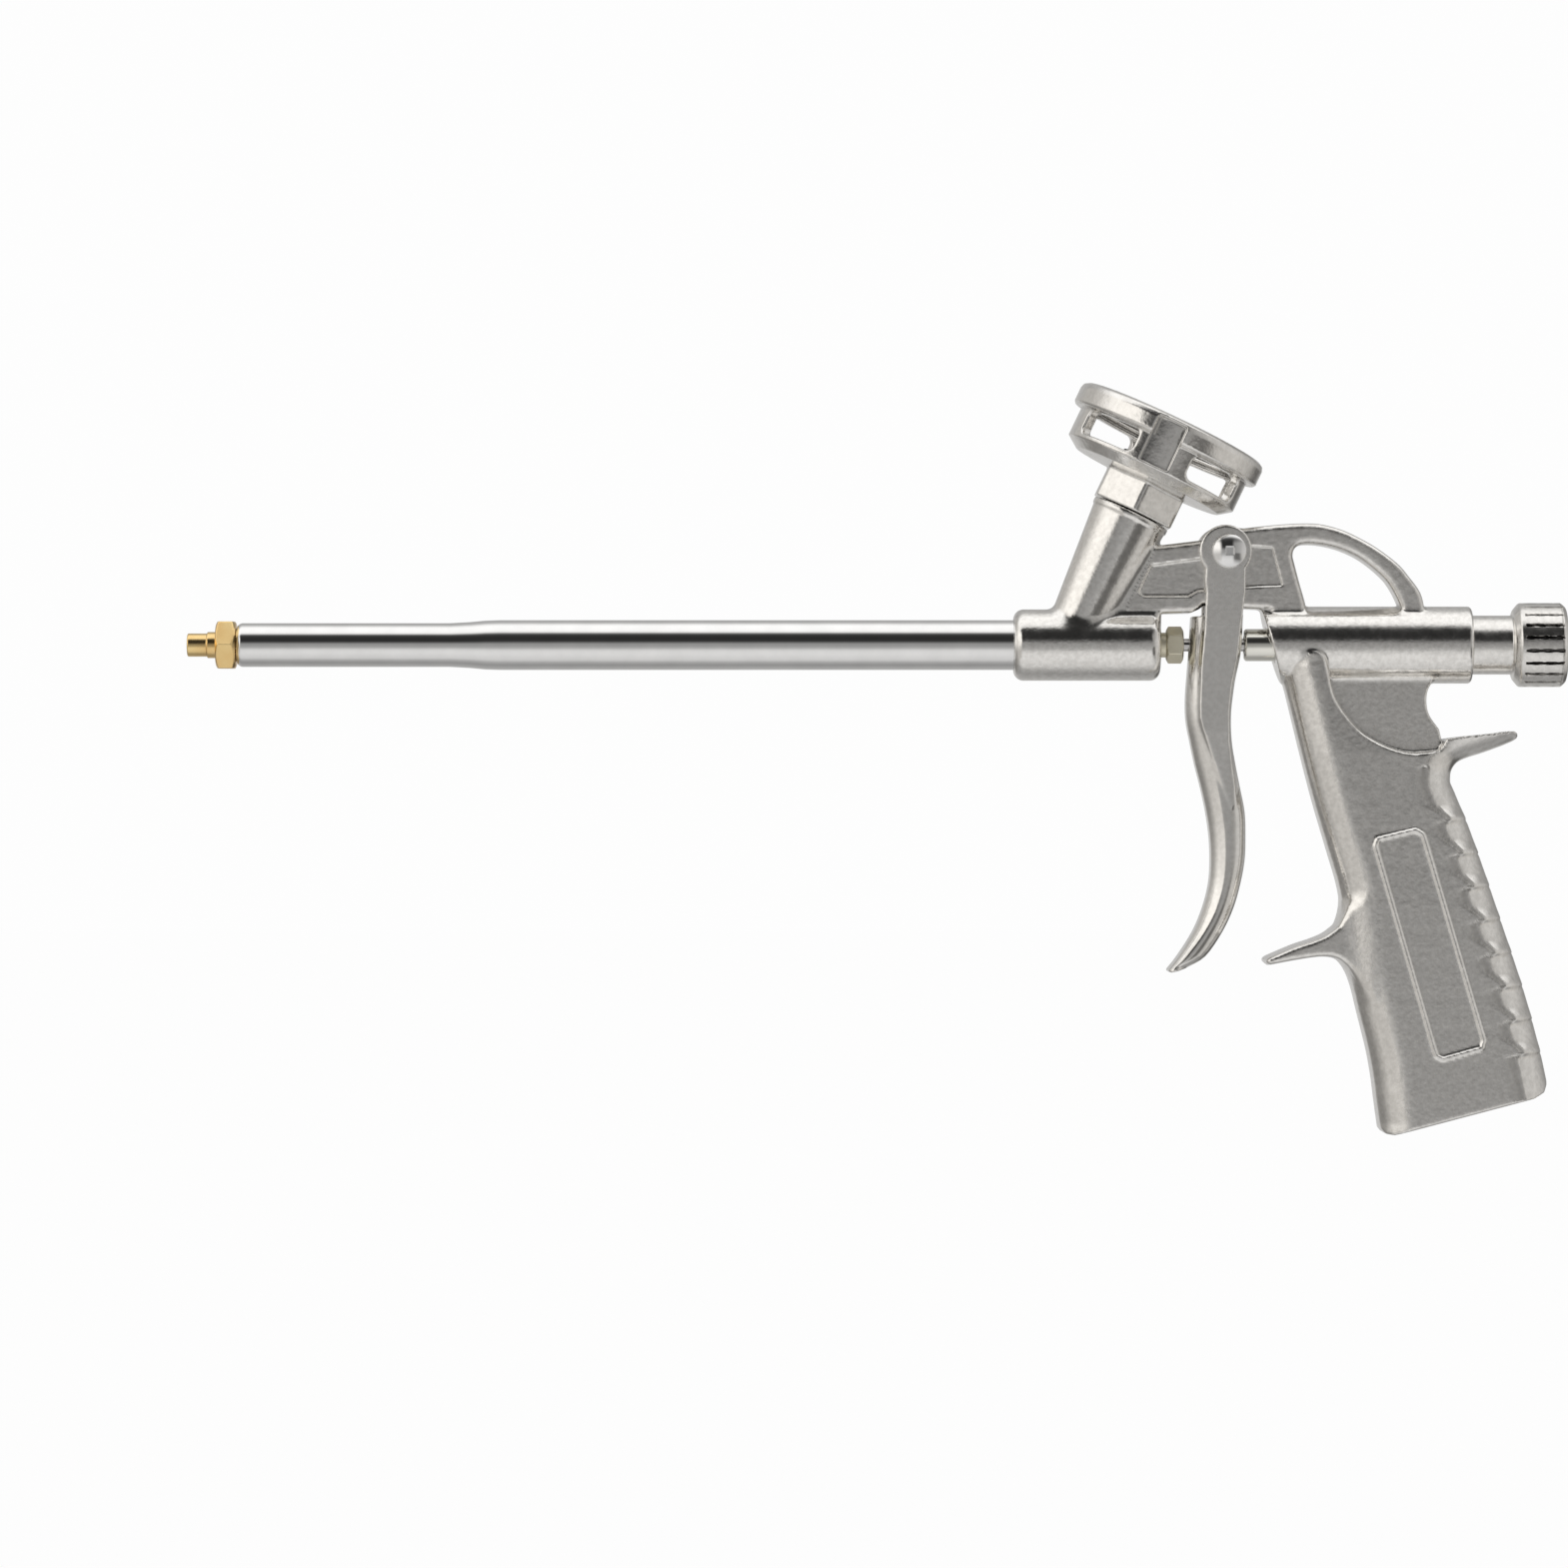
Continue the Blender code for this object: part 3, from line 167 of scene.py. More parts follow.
def skin(name, field, low, high, step, passes=2):
    """Mesh of the zero surface of a distance field: one point in every cell the surface crosses."""
    count = [int(math.ceil((high[i] - low[i]) / step)) + 1 for i in range(3)]
    line = [np.float32(low[i]) + np.float32(step) * np.arange(count[i], dtype=np.float32) for i in range(3)]
    value = np.array(np.broadcast_to(
        field(line[0][:, None, None], line[1][None, :, None], line[2][None, None, :]), count), np.float32)
    solid = value < 0
    cells = [c - 1 for c in count]
    corners = [(i, j, k) for i in (0, 1) for j in (0, 1) for k in (0, 1)]

    def shifted(array, c):
        return array[c[0]:c[0] + cells[0], c[1]:c[1] + cells[1], c[2]:c[2] + cells[2]]

    total = np.zeros(cells, np.int8)
    for c in corners:
        total += shifted(solid, c)
    active = (total > 0) & (total < 8)
    index = np.full(cells, -1, np.int32)
    where = np.argwhere(active)
    index[active] = np.arange(len(where))
    around = np.zeros((len(where), 3))
    hits = np.zeros(len(where))
    i, j, k = where.T
    corner_value = {c: value[i + c[0], j + c[1], k + c[2]] for c in corners}
    for a in corners:
        for axis in range(3):
            if a[axis]:
                continue
            b = tuple(1 if n == axis else a[n] for n in range(3))
            fa, fb = corner_value[a], corner_value[b]
            mixed = (fa < 0) != (fb < 0)
            t = np.where(mixed, fa / np.where(mixed, fa - fb, 1), 0)
            at = np.tile(np.array(a, float), (len(where), 1))
            at[:, axis] += t
            around += at * mixed[:, None]
            hits += mixed
    points = np.array(low) + step * (where + around / hits[:, None])
    h = 0.35 * step
    for _ in range(passes):
        here = field(*points.T)
        slope = np.empty_like(points)
        for axis in range(3):
            shift = np.zeros(3)
            shift[axis] = h
            slope[:, axis] = (field(*(points + shift).T) - field(*(points - shift).T)) / (2 * h)
        size = np.maximum((slope ** 2).sum(1), 0.2)
        points -= np.clip(here / size, -0.6 * step, 0.6 * step)[:, None] * slope
    quads = []
    around_edge = {0: ((0, -1, -1), (0, 0, -1), (0, 0, 0), (0, -1, 0)),
                   1: ((-1, 0, -1), (-1, 0, 0), (0, 0, 0), (0, 0, -1)),
                   2: ((-1, -1, 0), (0, -1, 0), (0, 0, 0), (-1, 0, 0))}
    for axis, cell in around_edge.items():
        span = [slice(1, count[n] - 1) for n in range(3)]
        near, far = list(span), list(span)
        near[axis], far[axis] = slice(0, count[axis] - 1), slice(1, count[axis])
        a, b = solid[tuple(near)], solid[tuple(far)]
        for first, order in ((True, cell), (False, cell[::-1])):
            at = np.argwhere((a != b) & (a == first))
            for n in range(3):
                if n != axis:
                    at[:, n] += 1
            quads.append(np.stack([index[tuple((at + np.array(c)).T)] for c in order], 1))
    return points, np.concatenate(quads)


def obj_from(name, points, faces, place=None):
    """Object from drawing points; place turns them onto the drawing first."""
    if place is not None:
        points = points @ np.array(place.to_3x3()).T + np.array(place.translation)
    at = (points - np.array((GRIP_X, 0, GRIP_Z))) * MM
    mesh = bpy.data.meshes.new(name)
    mesh.from_pydata(at.tolist(), [], faces.tolist() if hasattr(faces, "tolist") else faces)
    mesh.shade_smooth()
    obj = bpy.data.objects.new(name, mesh)
    bpy.context.collection.objects.link(obj)
    return obj


def mark(obj, name, values):
    """Store one number per point for a material to read."""
    layer = obj.data.attributes.new(name, "FLOAT", "POINT")
    layer.data.foreach_set("value", np.asarray(values, np.float32))


def crevices(obj, points, field, turn=None, reach=0.7):
    """How close the surface is to another part of itself, as in corners and grooves, from 0 to 1; the materials
    paint shade by it.
    """
    normal = point_normals(obj)
    if turn is not None:
        normal = normal @ np.array(turn.to_3x3())
    room = field(*(points + reach * normal).T) / reach
    return np.clip((0.82 - room) / 0.6, 0, 1)


def point_normals(obj):
    """Unit normal of every point."""
    flat = np.empty(len(obj.data.vertices) * 3, np.float32)
    obj.data.vertex_normals.foreach_get("vector", flat)
    return flat.reshape(-1, 3)


INLET = Matrix.Translation((INLET_X, 0, 0)) @ Matrix.Rotation(LEAN - math.pi / 2, 4, "Y")


def inlet_coordinates(x, z):
    """Distance up the inlet axis, and sideways from it, of a drawing point."""
    s, c = math.sin(LEAN), math.cos(LEAN)
    return (x - INLET_X) * s + z * c, -(x - INLET_X) * c + z * s


# ---------------------------------------------------------------- body casting

WEB_TOP = [(-6.5, 24.2), (-14.7, 23.2), (-26.0, 22.4)]
ARCH_OUTER = curve([(45.6, 8.0), (44.6, 12.0), (41.9, 15.8), (39.3, 18.8), (34.4, 22.5), (29.4, 25.3),
                    (25.6, 26.9), (21.0, 28.0), (16.0, 28.1), (10.0, 27.7), (3.6, 27.0)])
WEB = [(-35.5, 2.0), (-16.9, 2.4), (-15.4, 7.2), (-8.6, 7.4), (-6.8, 8.2), (-5.6, 9.1), (3.7, 8.4),
       (9.6, 8.1), (14.5, 3.5), (42.5, 3.5)] + ARCH_OUTER + [(0.0, 27.3), (-3.4, 26.4)] + WEB_TOP
OPENING = curve([(18.2, 8.0), (17.8, 10.0), (16.6, 14.2), (15.4, 18.8), (15.0, 20.8), (15.6, 22.5),
                 (17.6, 23.3), (21.6, 23.1), (26.3, 21.9), (31.0, 19.6), (35.6, 15.9), (37.9, 13.0),
                 (39.6, 9.6), (40.0, 8.0)]) + [(38.6, 6.6), (20.0, 6.6)]
LEFT_PANEL = [(-17.9, 18.4), (-4.0, 20.2), (-4.0, 12.5), (-7.0, 12.5), (-9.2, 11.2), (-19.6, 11.2),
              (-20.8, 12.1)]
RIGHT_PANEL = [(2.0, 23.0), (10.2, 22.5), (12.5, 13.7), (2.0, 13.2)]
UNDER_WEB = [(16.0, -3.0), (44.0, -3.0), (47.6, -7.6)] + curve(
    [(47.2, -8.8), (46.2, -10.9), (46.0, -13.7), (46.7, -16.5), (48.9, -19.6)]) + [
    (50.0, -24.5), (45.0, -31.0), (22.0, -31.0), (16.5, -14.0)]
FRONT_LINE = curve([(11.9, -5.0), (13.4, -11.0), (16.6, -24.0), (19.7, -36.0), (23.0, -47.2), (25.7, -56.6),
                    (27.0, -66.0), (28.2, -76.0), (29.9, -84.0), (31.3, -89.6), (32.5, -94.6), (33.5, -100.2),
                    (34.2, -105.7), (34.9, -110.8)])
BACK_LINE = curve([(50.6, -26.0), (51.2, -30.4), (53.5, -36.0), (55.8, -41.6), (58.8, -50.0), (61.6, -58.3),
                   (64.4, -66.7), (67.2, -75.1), (69.9, -83.9), (72.7, -94.6), (74.1, -101.0)])
STEP_LINE = curve([(53.0, -23.9), (50.2, -24.5), (46.4, -25.0), (42.3, -25.1), (38.6, -24.4), (34.6, -22.8),
                   (30.6, -20.4), (27.4, -17.0), (24.6, -12.8), (23.4, -9.0), (22.8, -5.6), (22.0, -2.9),
                   (20.4, -1.6), (18.4, -1.5), (16.4, -2.6), (13.2, -7.4), (12.6, -9.2)])
HANDLE = FRONT_LINE[4:] + [(35.3, -112.2), (36.3, -113.3), (38.2, -113.5), (70.4, -105.0), (73.0, -103.7),
                           (73.9, -102.0)] + BACK_LINE[::-1] + STEP_LINE
SPUR = [(44.0, -31.0), (44.0, -25.4), (48.6, -24.9)]
SPUR += curve([(50.2, -21.8), (54.1, -21.3), (58.0, -20.9), (62.0, -20.5), (64.6, -20.1)])
SPUR += curve([(66.1, -20.1), (66.9, -20.7), (67.0, -21.5), (66.4, -22.3)])
SPUR += [(60.0, -27.5), (54.5, -34.0), (47.0, -36.0)]
GUARD = [(31.5, -58.5), (27.5, -60.8)]
GUARD += curve([(25.0, -65.0), (22.5, -66.9), (19.2, -68.3), (15.3, -69.6), (9.2, -72.2)])
GUARD += [(8.4, -72.8), (8.4, -73.7), (9.3, -74.4)]
GUARD += curve([(14.5, -73.4), (20.5, -72.5), (24.3, -72.7), (26.8, -74.2), (29.6, -77.0), (33.5, -82.0)])
GUARD += [(34.5, -68.0)]

# Finger ridges on the back of the grip: station of the first, their spacing, and where they end, in spacings.
RIDGE_TOP, RIDGE_PITCH, RIDGE_END = -40.4, 7.7, 7.45

# Air behind the grip and below the spur; the round back of the handle follows its edge.
REAR_AIR = [p for p in BACK_LINE[::-1] if p[1] < -34.0]
REAR_AIR += curve([(51.7, -31.9), (51.9, -29.4), (53.2, -27.4), (55.6, -26.2), (58.8, -25.2), (63.0, -23.7),
                   (66.4, -22.3)])
REAR_AIR += [(95.0, -22.0), (95.0, -140.0), (84.0, -140.0)]

# Raised bead on each side of the grip.
BEAD = [(33.5, -46.6), (34.1, -45.0), (42.8, -42.9), (44.5, -43.9), (45.1, -45.8), (58.5, -91.5),
        (58.0, -93.3), (49.1, -95.8), (47.6, -95.1), (47.0, -93.4)]

# Bores as start, end, radius and edge rounding: along the barrel axis, and up the inlet.
BORES = ((-60.0, SOCKET_X, SOCKET_R, 0.3), (-41.3, -28.7, CHAMBER_R, 0.2), (-31.0, -19.0, NEEDLE_HOLE_R, 0.2),
         (-26.2, -14.2, 3.2, 0.3), (6.0, 24.0, SLEEVE_R + 0.3, 0.3),
         (SPRING_CHAMBER_X, 70.0, SPRING_CHAMBER_R, 0.3))
INLET_BORES = ((0.0, 24.0, 3.2, 0.2), (23.5, 40.0, THREAD_R, 0.3), (32.5, 40.0, 7.7, 0.2))


def handle_half(z):
    """Half width of the handle at height z."""
    return np.interp(z, [-112.0, -60.0, -25.0, -4.0], [11.3, 11.1, 10.5, 9.4])


def grip(x, y, z):
    """Handle: flat sides, round front, and a round back broken into finger ridges."""
    half = handle_half(z)
    wide = np.abs(y)
    flat = joined(polygon(x, z, HANDLE), wide - half, 0.9)
    front = joined((along(z, FRONT_LINE) - x) * 0.96, wide - half, 8.6)
    phase = (RIDGE_TOP - z) / RIDGE_PITCH
    phase = np.where((phase > -0.4) & (phase < RIDGE_END), phase % 1, 0.5)
    tooth = np.maximum(np.exp(-(phase / 0.11) ** 2), np.exp(-((1 - phase) / 0.26) ** 2))
    ripple = 0.2 * np.exp(-((phase - 0.05) / 0.07) ** 2)
    corner = np.interp(z, [-100.0, -42.0], [10.8, 9.8])
    back = joined(ripple - polygon(x, z, REAR_AIR), wide - half - 0.4 - 1.25 * tooth, corner)
    flat = smin(flat, joined(polygon(x, z, SPUR), wide - half, 0.9), 0.8)
    body = smax(smax(flat, front, 0.3), back, 0.25)
    body = cut(body, np.hypot(wide - half, back) - 0.45 + np.clip(z + 28.5, 0, 9), 0.12)
    bead = np.hypot(polygon(x, z, BEAD), wide - half + 0.05) - 0.46
    return smin(body, bead, 0.35)


def fin(x, y, z, outline, half):
    """Blade across y that thins toward its sides."""
    wide = np.abs(y)
    return joined(polygon(x, z, outline) + 0.03 * wide, wide - half, 1.1)


def body_field(x, y, z):
    """Distance to the casting."""
    rho = np.hypot(y, z)
    wide = np.abs(y)
    front = tube(x, rho, FRONT_X, FRONT_REAR_X, FRONT_R, 2.4)
    d, w = inlet_coordinates(x, z)
    around = np.hypot(w, y)
    pipe = joined((around - (7.05 + (d - 7.6) * 0.0786)) * 0.997, np.abs(d - 16.5) - 16.2, 0.3)
    collar = joined(around - 9.3, np.abs(d - 33.2) - 0.7, 0.25)
    body = smin(front, smin(pipe, collar, 0.3), 1.6)
    web = joined(polygon(x, z, WEB), wide - WEB_HALF, 1.3)
    for panel, depth in ((LEFT_PANEL, 0.55), (RIGHT_PANEL, 0.35)):
        web = smax(web, -np.maximum(polygon(x, z, panel), WEB_HALF - depth - wide), 0.25)
    web = cut(web, polygon(x, z, OPENING), 1.8)
    body = smin(body, web, 1.2)
    slant = -0.966 * (x - 7.6) - 0.259 * (z - REAR_R)
    rear = smax(joined(x - REAR_END_X, rho - REAR_R, 0.9), slant, 0.5)
    under = joined(polygon(x, z, UNDER_WEB), wide - 4.6, 0.5)
    body = smin(body, smin(rear, under, 1.0), 0.9)
    hand = smin(grip(x, y, z), fin(x, y, z, GUARD, 8.9), 3.2)
    body = smin(body, hand, 0.7)
    for start, end, radius, edge in BORES:
        body = cut(body, np.maximum(rho - radius, np.maximum(start - x, x - end)), edge)
    for start, end, radius, edge in INLET_BORES:
        body = cut(body, np.maximum(around - radius, np.maximum(start - d, d - end)), edge)
    return cut(body, np.hypot(x, z - PIVOT_Z) - PIVOT_HOLE_R, 0.3)


def make_body(step):
    """Casting as one fine surface, marked where its blasted flat sides are."""
    points, faces = skin("body", body_field, (-51.0, -12.4, -115.5), (76.0, 12.4, 34.8), step)
    obj = obj_from("body_casting_fine", points, faces)
    normal = point_normals(obj)
    x, y, z = points.T
    rho = np.hypot(y, z)
    d, w = inlet_coordinates(x, z)
    flat = np.clip((np.abs(normal[:, 1]) - 0.90) / 0.08, 0, 1)
    round_part = (rho < 9.4) | (np.hypot(y, w) < 9.6) & (d < 36)
    mark(obj, "flat", np.where(round_part, 0, flat))
    # Painted shade for the casting's corners and grooves, weakened round one point near x 18, z -3.
    shaded = crevices(obj, points, body_field)
    mark(obj, "crevice", shaded * (1 - 0.85 * np.exp(-((x - 18.0) ** 2 + (z + 3.0) ** 2) / 16.0)))
    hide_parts("body_casting")
    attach(obj, "gun_body")
    return obj


# ---------------------------------------------------------------- trigger

LEVER_FRONT = curve([(-8.5, 9.0), (-8.6, 5.8), (-9.3, -5.3), (-9.8, -12.0), (-9.7, -17.5), (-8.8, -22.4),
                     (-7.7, -27.7), (-6.3, -33.2), (-5.1, -38.8), (-4.3, -44.4), (-4.05, -50.0),
                     (-4.4, -55.5),
                     (-5.8, -61.1), (-8.1, -66.7), (-11.6, -72.3), (-14.0, -75.4)])
LEVER_REAR = curve([(3.2, 9.0), (3.2, 5.0), (3.1, 0.0), (2.7, -3.0), (1.5, -8.5), (0.7, -15.5), (0.9, -22.1),
                    (1.8, -27.7), (2.9, -33.2), (4.0, -38.8), (4.2, -44.4), (4.0, -50.0), (3.0, -55.5),
                    (1.4, -61.1), (-1.2, -66.7), (-5.1, -72.3), (-9.2, -74.8)])
LEVER = LEVER_FRONT + [(-13.9, -75.8), (-13.2, -76.0), (-11.8, -75.7)] + LEVER_REAR[::-1]
EYE = [(-0.8 + 6.1 * math.cos(math.radians(a)), PIVOT_Z + 6.1 * math.sin(math.radians(a)))
       for a in range(-40, 221, 10)]
CHEEK = EYE + [(-5.6, 14.5), (-5.3, 12.0), (-5.7, 4.0), (-6.5, -5.5), (-6.8, -14.0), (-6.7, -17.2)] + curve(
    [(-6.1, -19.6), (-3.6, -26.5), (0.6, -38.0)]) + [
    (1.6, -37.2), (1.5, -33.0), (0.9, -28.2), (0.2, -22.1), (0.1, -15.5), (0.8, -9.0), (2.0, -3.0),
    (2.9, 5.0),
    (3.8, 12.5), (3.8, 15.5)]


def trigger_field(x, y, z):
    """Distance to the trigger."""
    wide = np.abs(y)
    lever = joined(polygon(x, z, LEVER), wide - LEVER_HALF, 0.4)
    lever = smax(lever, z - 6.6, 0.4)
    soft = np.interp(z, [-76.0, -62.0, -30.0], [2.2, 4.4, 5.6])
    lever = smax(lever, joined((along(z, LEVER_FRONT) - x) * 0.97, wide - LEVER_HALF, soft), 0.3)
    blunt = np.interp(z, [-60.0, -40.0, -24.0, -10.0], [4.2, 4.2, 3.0, 1.2])
    lever = smax(lever, joined((x - along(z, LEVER_REAR)) * 0.97, wide - LEVER_HALF, blunt), 0.3)
    outer = np.interp(z, [-39.0, -20.0, 20.0], [6.1, 7.3, 8.3])
    cheek = joined(polygon(x, z, CHEEK), np.maximum(wide - outer, CHEEK_INNER - wide), 0.45)
    whole = smin(lever, cheek, 1.0)
    whole = cut(whole, np.hypot(x, z - PIVOT_Z) - PIVOT_HOLE_R, 0.3)
    return cut(whole, np.maximum(wide - 2.0, np.abs(z) - 3.6), 0.4)


def make_trigger(step):
    """Trigger as one fine surface, marked on its flat cheeks."""
    points, faces = skin("trigger", trigger_field, (-15.5, -9.4, -77.2), (7.2, 9.4, 28.8), step)
    obj = obj_from("trigger_fine", points, faces)
    normal = point_normals(obj)
    cheek = np.clip((np.abs(normal[:, 1]) - 0.92) / 0.06, 0, 1) * (np.abs(points[:, 1]) > 7.9)
    mark(obj, "flat", cheek)
    # Painted shade for the trigger's corners and grooves.
    mark(obj, "crevice", crevices(obj, points, trigger_field))
    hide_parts("trigger")
    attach(obj, "trigger_lever")
    return obj


# ---------------------------------------------------------------- can adapter

CUP = [(41.4, 0.0), (41.4, 8.5), (42.2, 18.2), (44.3, CAGE_R), (51.3, CAGE_R), (51.5, 22.8), (52.1, BAND_R),
       (55.4, BAND_R), (56.4, 22.9), (RIM, 21.9), (RIM, 19.1), (56.5, 18.7)]
for ridge in range(4):
    top = RIM - 0.9 - 1.55 * ridge
    CUP += [(top, CUP_R - 0.4), (top - 0.45, CUP_R - 0.4), (top - 0.85, CUP_R + 0.25),
    (top - 1.1, CUP_R + 0.25)]
CUP += [(49.5, CUP_R), (CUP_FLOOR, CUP_R), (CUP_FLOOR, 4.0), (48.2, 4.0), (48.6, 3.5), (48.6, 0.0)]
WINDOWS = [math.radians(a) for a in (-42.0, 42.0, 138.0, 222.0)]
WINDOW_HALF = math.radians(23.0)
POCKETS = [math.radians(a) for a in (-2.5, 177.5)]


def adapter_field(d, y, w):
    """Distance to the can adapter in inlet coordinates."""
    rho = np.hypot(y, w)
    cup = polygon(d, rho, CUP)
    hexagonal = joined(hex_bar(y, w, 19.0), np.abs(d - HEX_FOOT - 4.0) - 4.0, 0.35)
    hexagonal = smax(hexagonal, rho - 10.75, 0.3)
    stem = joined(rho - 6.0, np.abs(d - 30.0) - 5.8, 0.3)
    whole = smin(smin(cup, hexagonal, 0.7), stem, 0.2)
    whole = cut(whole, np.maximum(rho - 4.4, d - 40.0), 0.2)
    whole = cut(whole, rho - 1.6, 0.2)
    for a in WINDOWS:
        out = -y * math.cos(a) - w * math.sin(a)
        aside = y * math.sin(a) - w * math.cos(a)
        wedge = np.abs(aside) * math.cos(WINDOW_HALF) - out * math.sin(WINDOW_HALF)
        window = joined(wedge, np.abs(d - 48.2) - 2.95, 1.9)
        whole = cut(whole, np.maximum(window, 15.5 - out), 0.5)
    for a in POCKETS:
        out = -y * math.cos(a) - w * math.sin(a)
        aside = y * math.sin(a) - w * math.cos(a)
        pocket = joined(np.abs(aside) - 3.6, np.abs(d - 50.3) - 5.6, 0.5)
        pocket = np.maximum(pocket, 19.75 - rho)
        whole = cut(whole, np.maximum(pocket, -out), 0.25)
    return whole


def make_adapter(step):
    """Can adapter as one fine surface."""
    points, faces = skin("adapter", adapter_field, (23.2, -24.2, -24.2), (58.0, 24.2, 24.2), step)
    obj = obj_from("can_adapter_fine", points, faces, INLET)
    # Painted shade for the adapter's corners and grooves.
    mark(obj, "crevice", crevices(obj, points, adapter_field, INLET))
    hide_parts("can_adapter")
    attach(obj, "gun_body")
    return obj


# ---------------------------------------------------------------- turned pieces


def turned(name, outline, node, body, steps=96, place=None, dip=None):
    """Turned piece from a closed outline of (x, radius), in place of a node; dip sinks points of its skin."""
    points, rings, faces = [], [], []
    for x, radius in outline:
        if radius == 0:
            rings.append([len(points)] * steps)
            points.append((x, 0, 0))
            continue
        rings.append(list(range(len(points), len(points) + steps)))
        for i in range(steps):
            a = 2 * math.pi * i / steps
            r = radius - (dip(x, radius, a) if dip else 0)
            points.append((x, r * math.cos(a), r * math.sin(a)))
    for a, b in zip(rings, rings[1:] + rings[:1]):
        for i in range(steps):
            j = (i + 1) % steps
            face = list(dict.fromkeys((a[i], a[j], b[j], b[i])))
            if len(face) > 2:
                faces.append(face)
    obj = obj_from(name, np.array(points, float), faces, place)
    work = bmesh.new()
    work.from_mesh(obj.data)
    bmesh.ops.recalc_face_normals(work, faces=work.faces)
    work.to_mesh(obj.data)
    work.free()
    obj.data.set_sharp_from_angle(angle=math.radians(35))
    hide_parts(node)
    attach(obj, body)
    return obj


def rounded(outline, radius, steps=4):
    """Outline with every corner off the axis turned into a small arc."""
    done = []
    count = len(outline)
    for i in range(count):
        p = Vector(outline[i])
        if p.y == 0:
            done.append(tuple(p))
            continue
        a, b = Vector(outline[i - 1]) - p, Vector(outline[(i + 1) % count]) - p
        reach = min(radius, a.length * 0.45, b.length * 0.45)
        a, b = p + a.normalized() * reach, p + b.normalized() * reach
        for k in range(steps + 1):
            t = k / steps
            done.append(tuple(a * (1 - t) ** 2 + p * 2 * t * (1 - t) + b * t * t))
    return done


def hex_prism(x, y, z, x0, x1, flats, chamfer):
    """Hexagon bar along x with flats toward +-y and chamfered ends."""
    bar = hex_bar(z, y, flats)
    rho = np.hypot(y, z)
    out = np.maximum(x0 - x, x - x1)
    cone = (out + chamfer) * 0.87 + (rho - flats / 2) * 0.5
    return smax(joined(bar, out, 0.15), cone, 0.1)


def gland_field(x, y, z):
    """Distance to the gland nut."""
    rho = np.hypot(y, z)
    whole = smin(hex_prism(x, y, z, -14.2, -10.2, 7.5, 0.2), tube(x, rho, -21.3, -13.0, 2.9, 0.2), 0.15)
    return cut(whole, rho - NEEDLE_HOLE_R, 0.15)


def nozzle_field(x, y, z):
    """Distance to the nozzle, measured forward from the front of the barrel."""
    rho = np.hypot(y, z)
    x = x - NOZZLE_X
    whole = smin(hex_prism(x, z, y, -4.7, 0.0, 10.9, 0.3), tube(x, rho, -11.4, 0.3, 2.7, 0.35), 0.15)
    whole = smin(whole, tube(x, rho, -6.8, -3.7, 3.05, 0.25), 0.05)
    whole = smin(whole, tube(x, rho, -0.7, 9.0, 3.8, 0.3), 0.1)
    bore = np.interp(x, [-11.7, -6.9, -4.1, 9.3], [1.35, 1.35, 2.6, 2.6])
    return cut(whole, rho - bore, 0.15)


def screw_field(x, y, z):
    """Distance to the dome screw of the pivot."""
    rho = np.hypot(x, z - PIVOT_Z)
    ball = np.sqrt(rho ** 2 + (y + 4.1) ** 2) - 6.8
    head = joined(joined(ball, rho - 3.95, 0.3), y + 8.6, 0.12)
    whole = smin(head, joined(rho - 1.5, np.abs(y + 2.5) - 6.6, 0.2), 0.1)
    socket = np.maximum(np.maximum(np.abs(x), np.abs(z - PIVOT_Z)) - 0.9, y + 9.9)
    return cut(whole, socket, 0.15)


def small_surface(name, node, body, field, low, high, step, material):
    """One small fine surface in place of a CAD node."""
    points, faces = skin(name, field, low, high, step)
    obj = obj_from(name, points, faces)
    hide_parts(node)
    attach(obj, body)
    return dress(obj, material)


KNOB_GROOVES = 20
GROOVE_FRONT_X, GROOVE_REAR_X, GROOVE_DEPTH = 68.6, 77.6, 0.9


def knob_dip(x, radius, turn):
    """Narrow, slightly uneven grooves along the head of the knob."""
    if not GROOVE_FRONT_X - 0.2 < x < GROOVE_REAR_X + 0.3 or radius < KNOB_R - 0.75:
        return 0.0
    share = turn * KNOB_GROOVES / (2 * math.pi)
    off = abs(share % 1 - 0.5) * 2 * math.pi * KNOB_R / KNOB_GROOVES
    wobble = 0.09 * math.sin(1.9 * x + 5.0 * round(share - 0.5))
    depth = min(max((0.36 + wobble - off) / 0.16, 0), 1) * GROOVE_DEPTH
    return depth * min(max((x - GROOVE_FRONT_X) / 0.3, 0), 1) * min(max((GROOVE_REAR_X - x) / 0.35, 0), 1)


def make_knob():
    """Flow knob with its grooved head, marked for painted shade in the grooves."""
    neck, rear = 6.85, KNOB_END_X
    outline = rounded([
        (52.9, 0), (52.9, 5.15), (44.0, 5.15), (44.0, 6.4), (44.5, neck), (53.35, neck), (53.35, 5.9),
        (54.65, 5.9),
        (54.65, neck), (66.05, neck), (66.3, 8.1), (67.7, KNOB_R), (77.5, KNOB_R), (rear, 8.7),
        (rear, 0)], 0.45)
    stations = [68.55, 68.7, 68.9] + [69.2 + 0.8 * i for i in range(10)] + [77.0, 77.2, 77.35]
    at = next(i for i, p in enumerate(outline) if p[0] > 70 and abs(p[1] - KNOB_R) < 0.01)
    front = [p for p in outline[:at] if p[0] < 68.5 or p[1] < 9.0]
    outline = front + [(x, KNOB_R) for x in stations] + outline[at:]
    obj = turned("flow_knob_fine", outline, "flow_knob", "knob", 26 * KNOB_GROOVES, dip=knob_dip)
    # Painted shade inside the grooves, deeper grooves darker.
    at = np.array([v.co for v in obj.data.vertices]) / MM + np.array((GRIP_X, 0, GRIP_Z))
    depth = KNOB_R - np.hypot(at[:, 1], at[:, 2])
    in_groove = (at[:, 0] > GROOVE_FRONT_X + 0.2) & (at[:, 0] < GROOVE_REAR_X - 0.2)
    mark(obj, "crevice", np.clip((depth - 0.15) / 0.3, 0, 1) * in_groove)
    return obj


# ---------------------------------------------------------------- materials


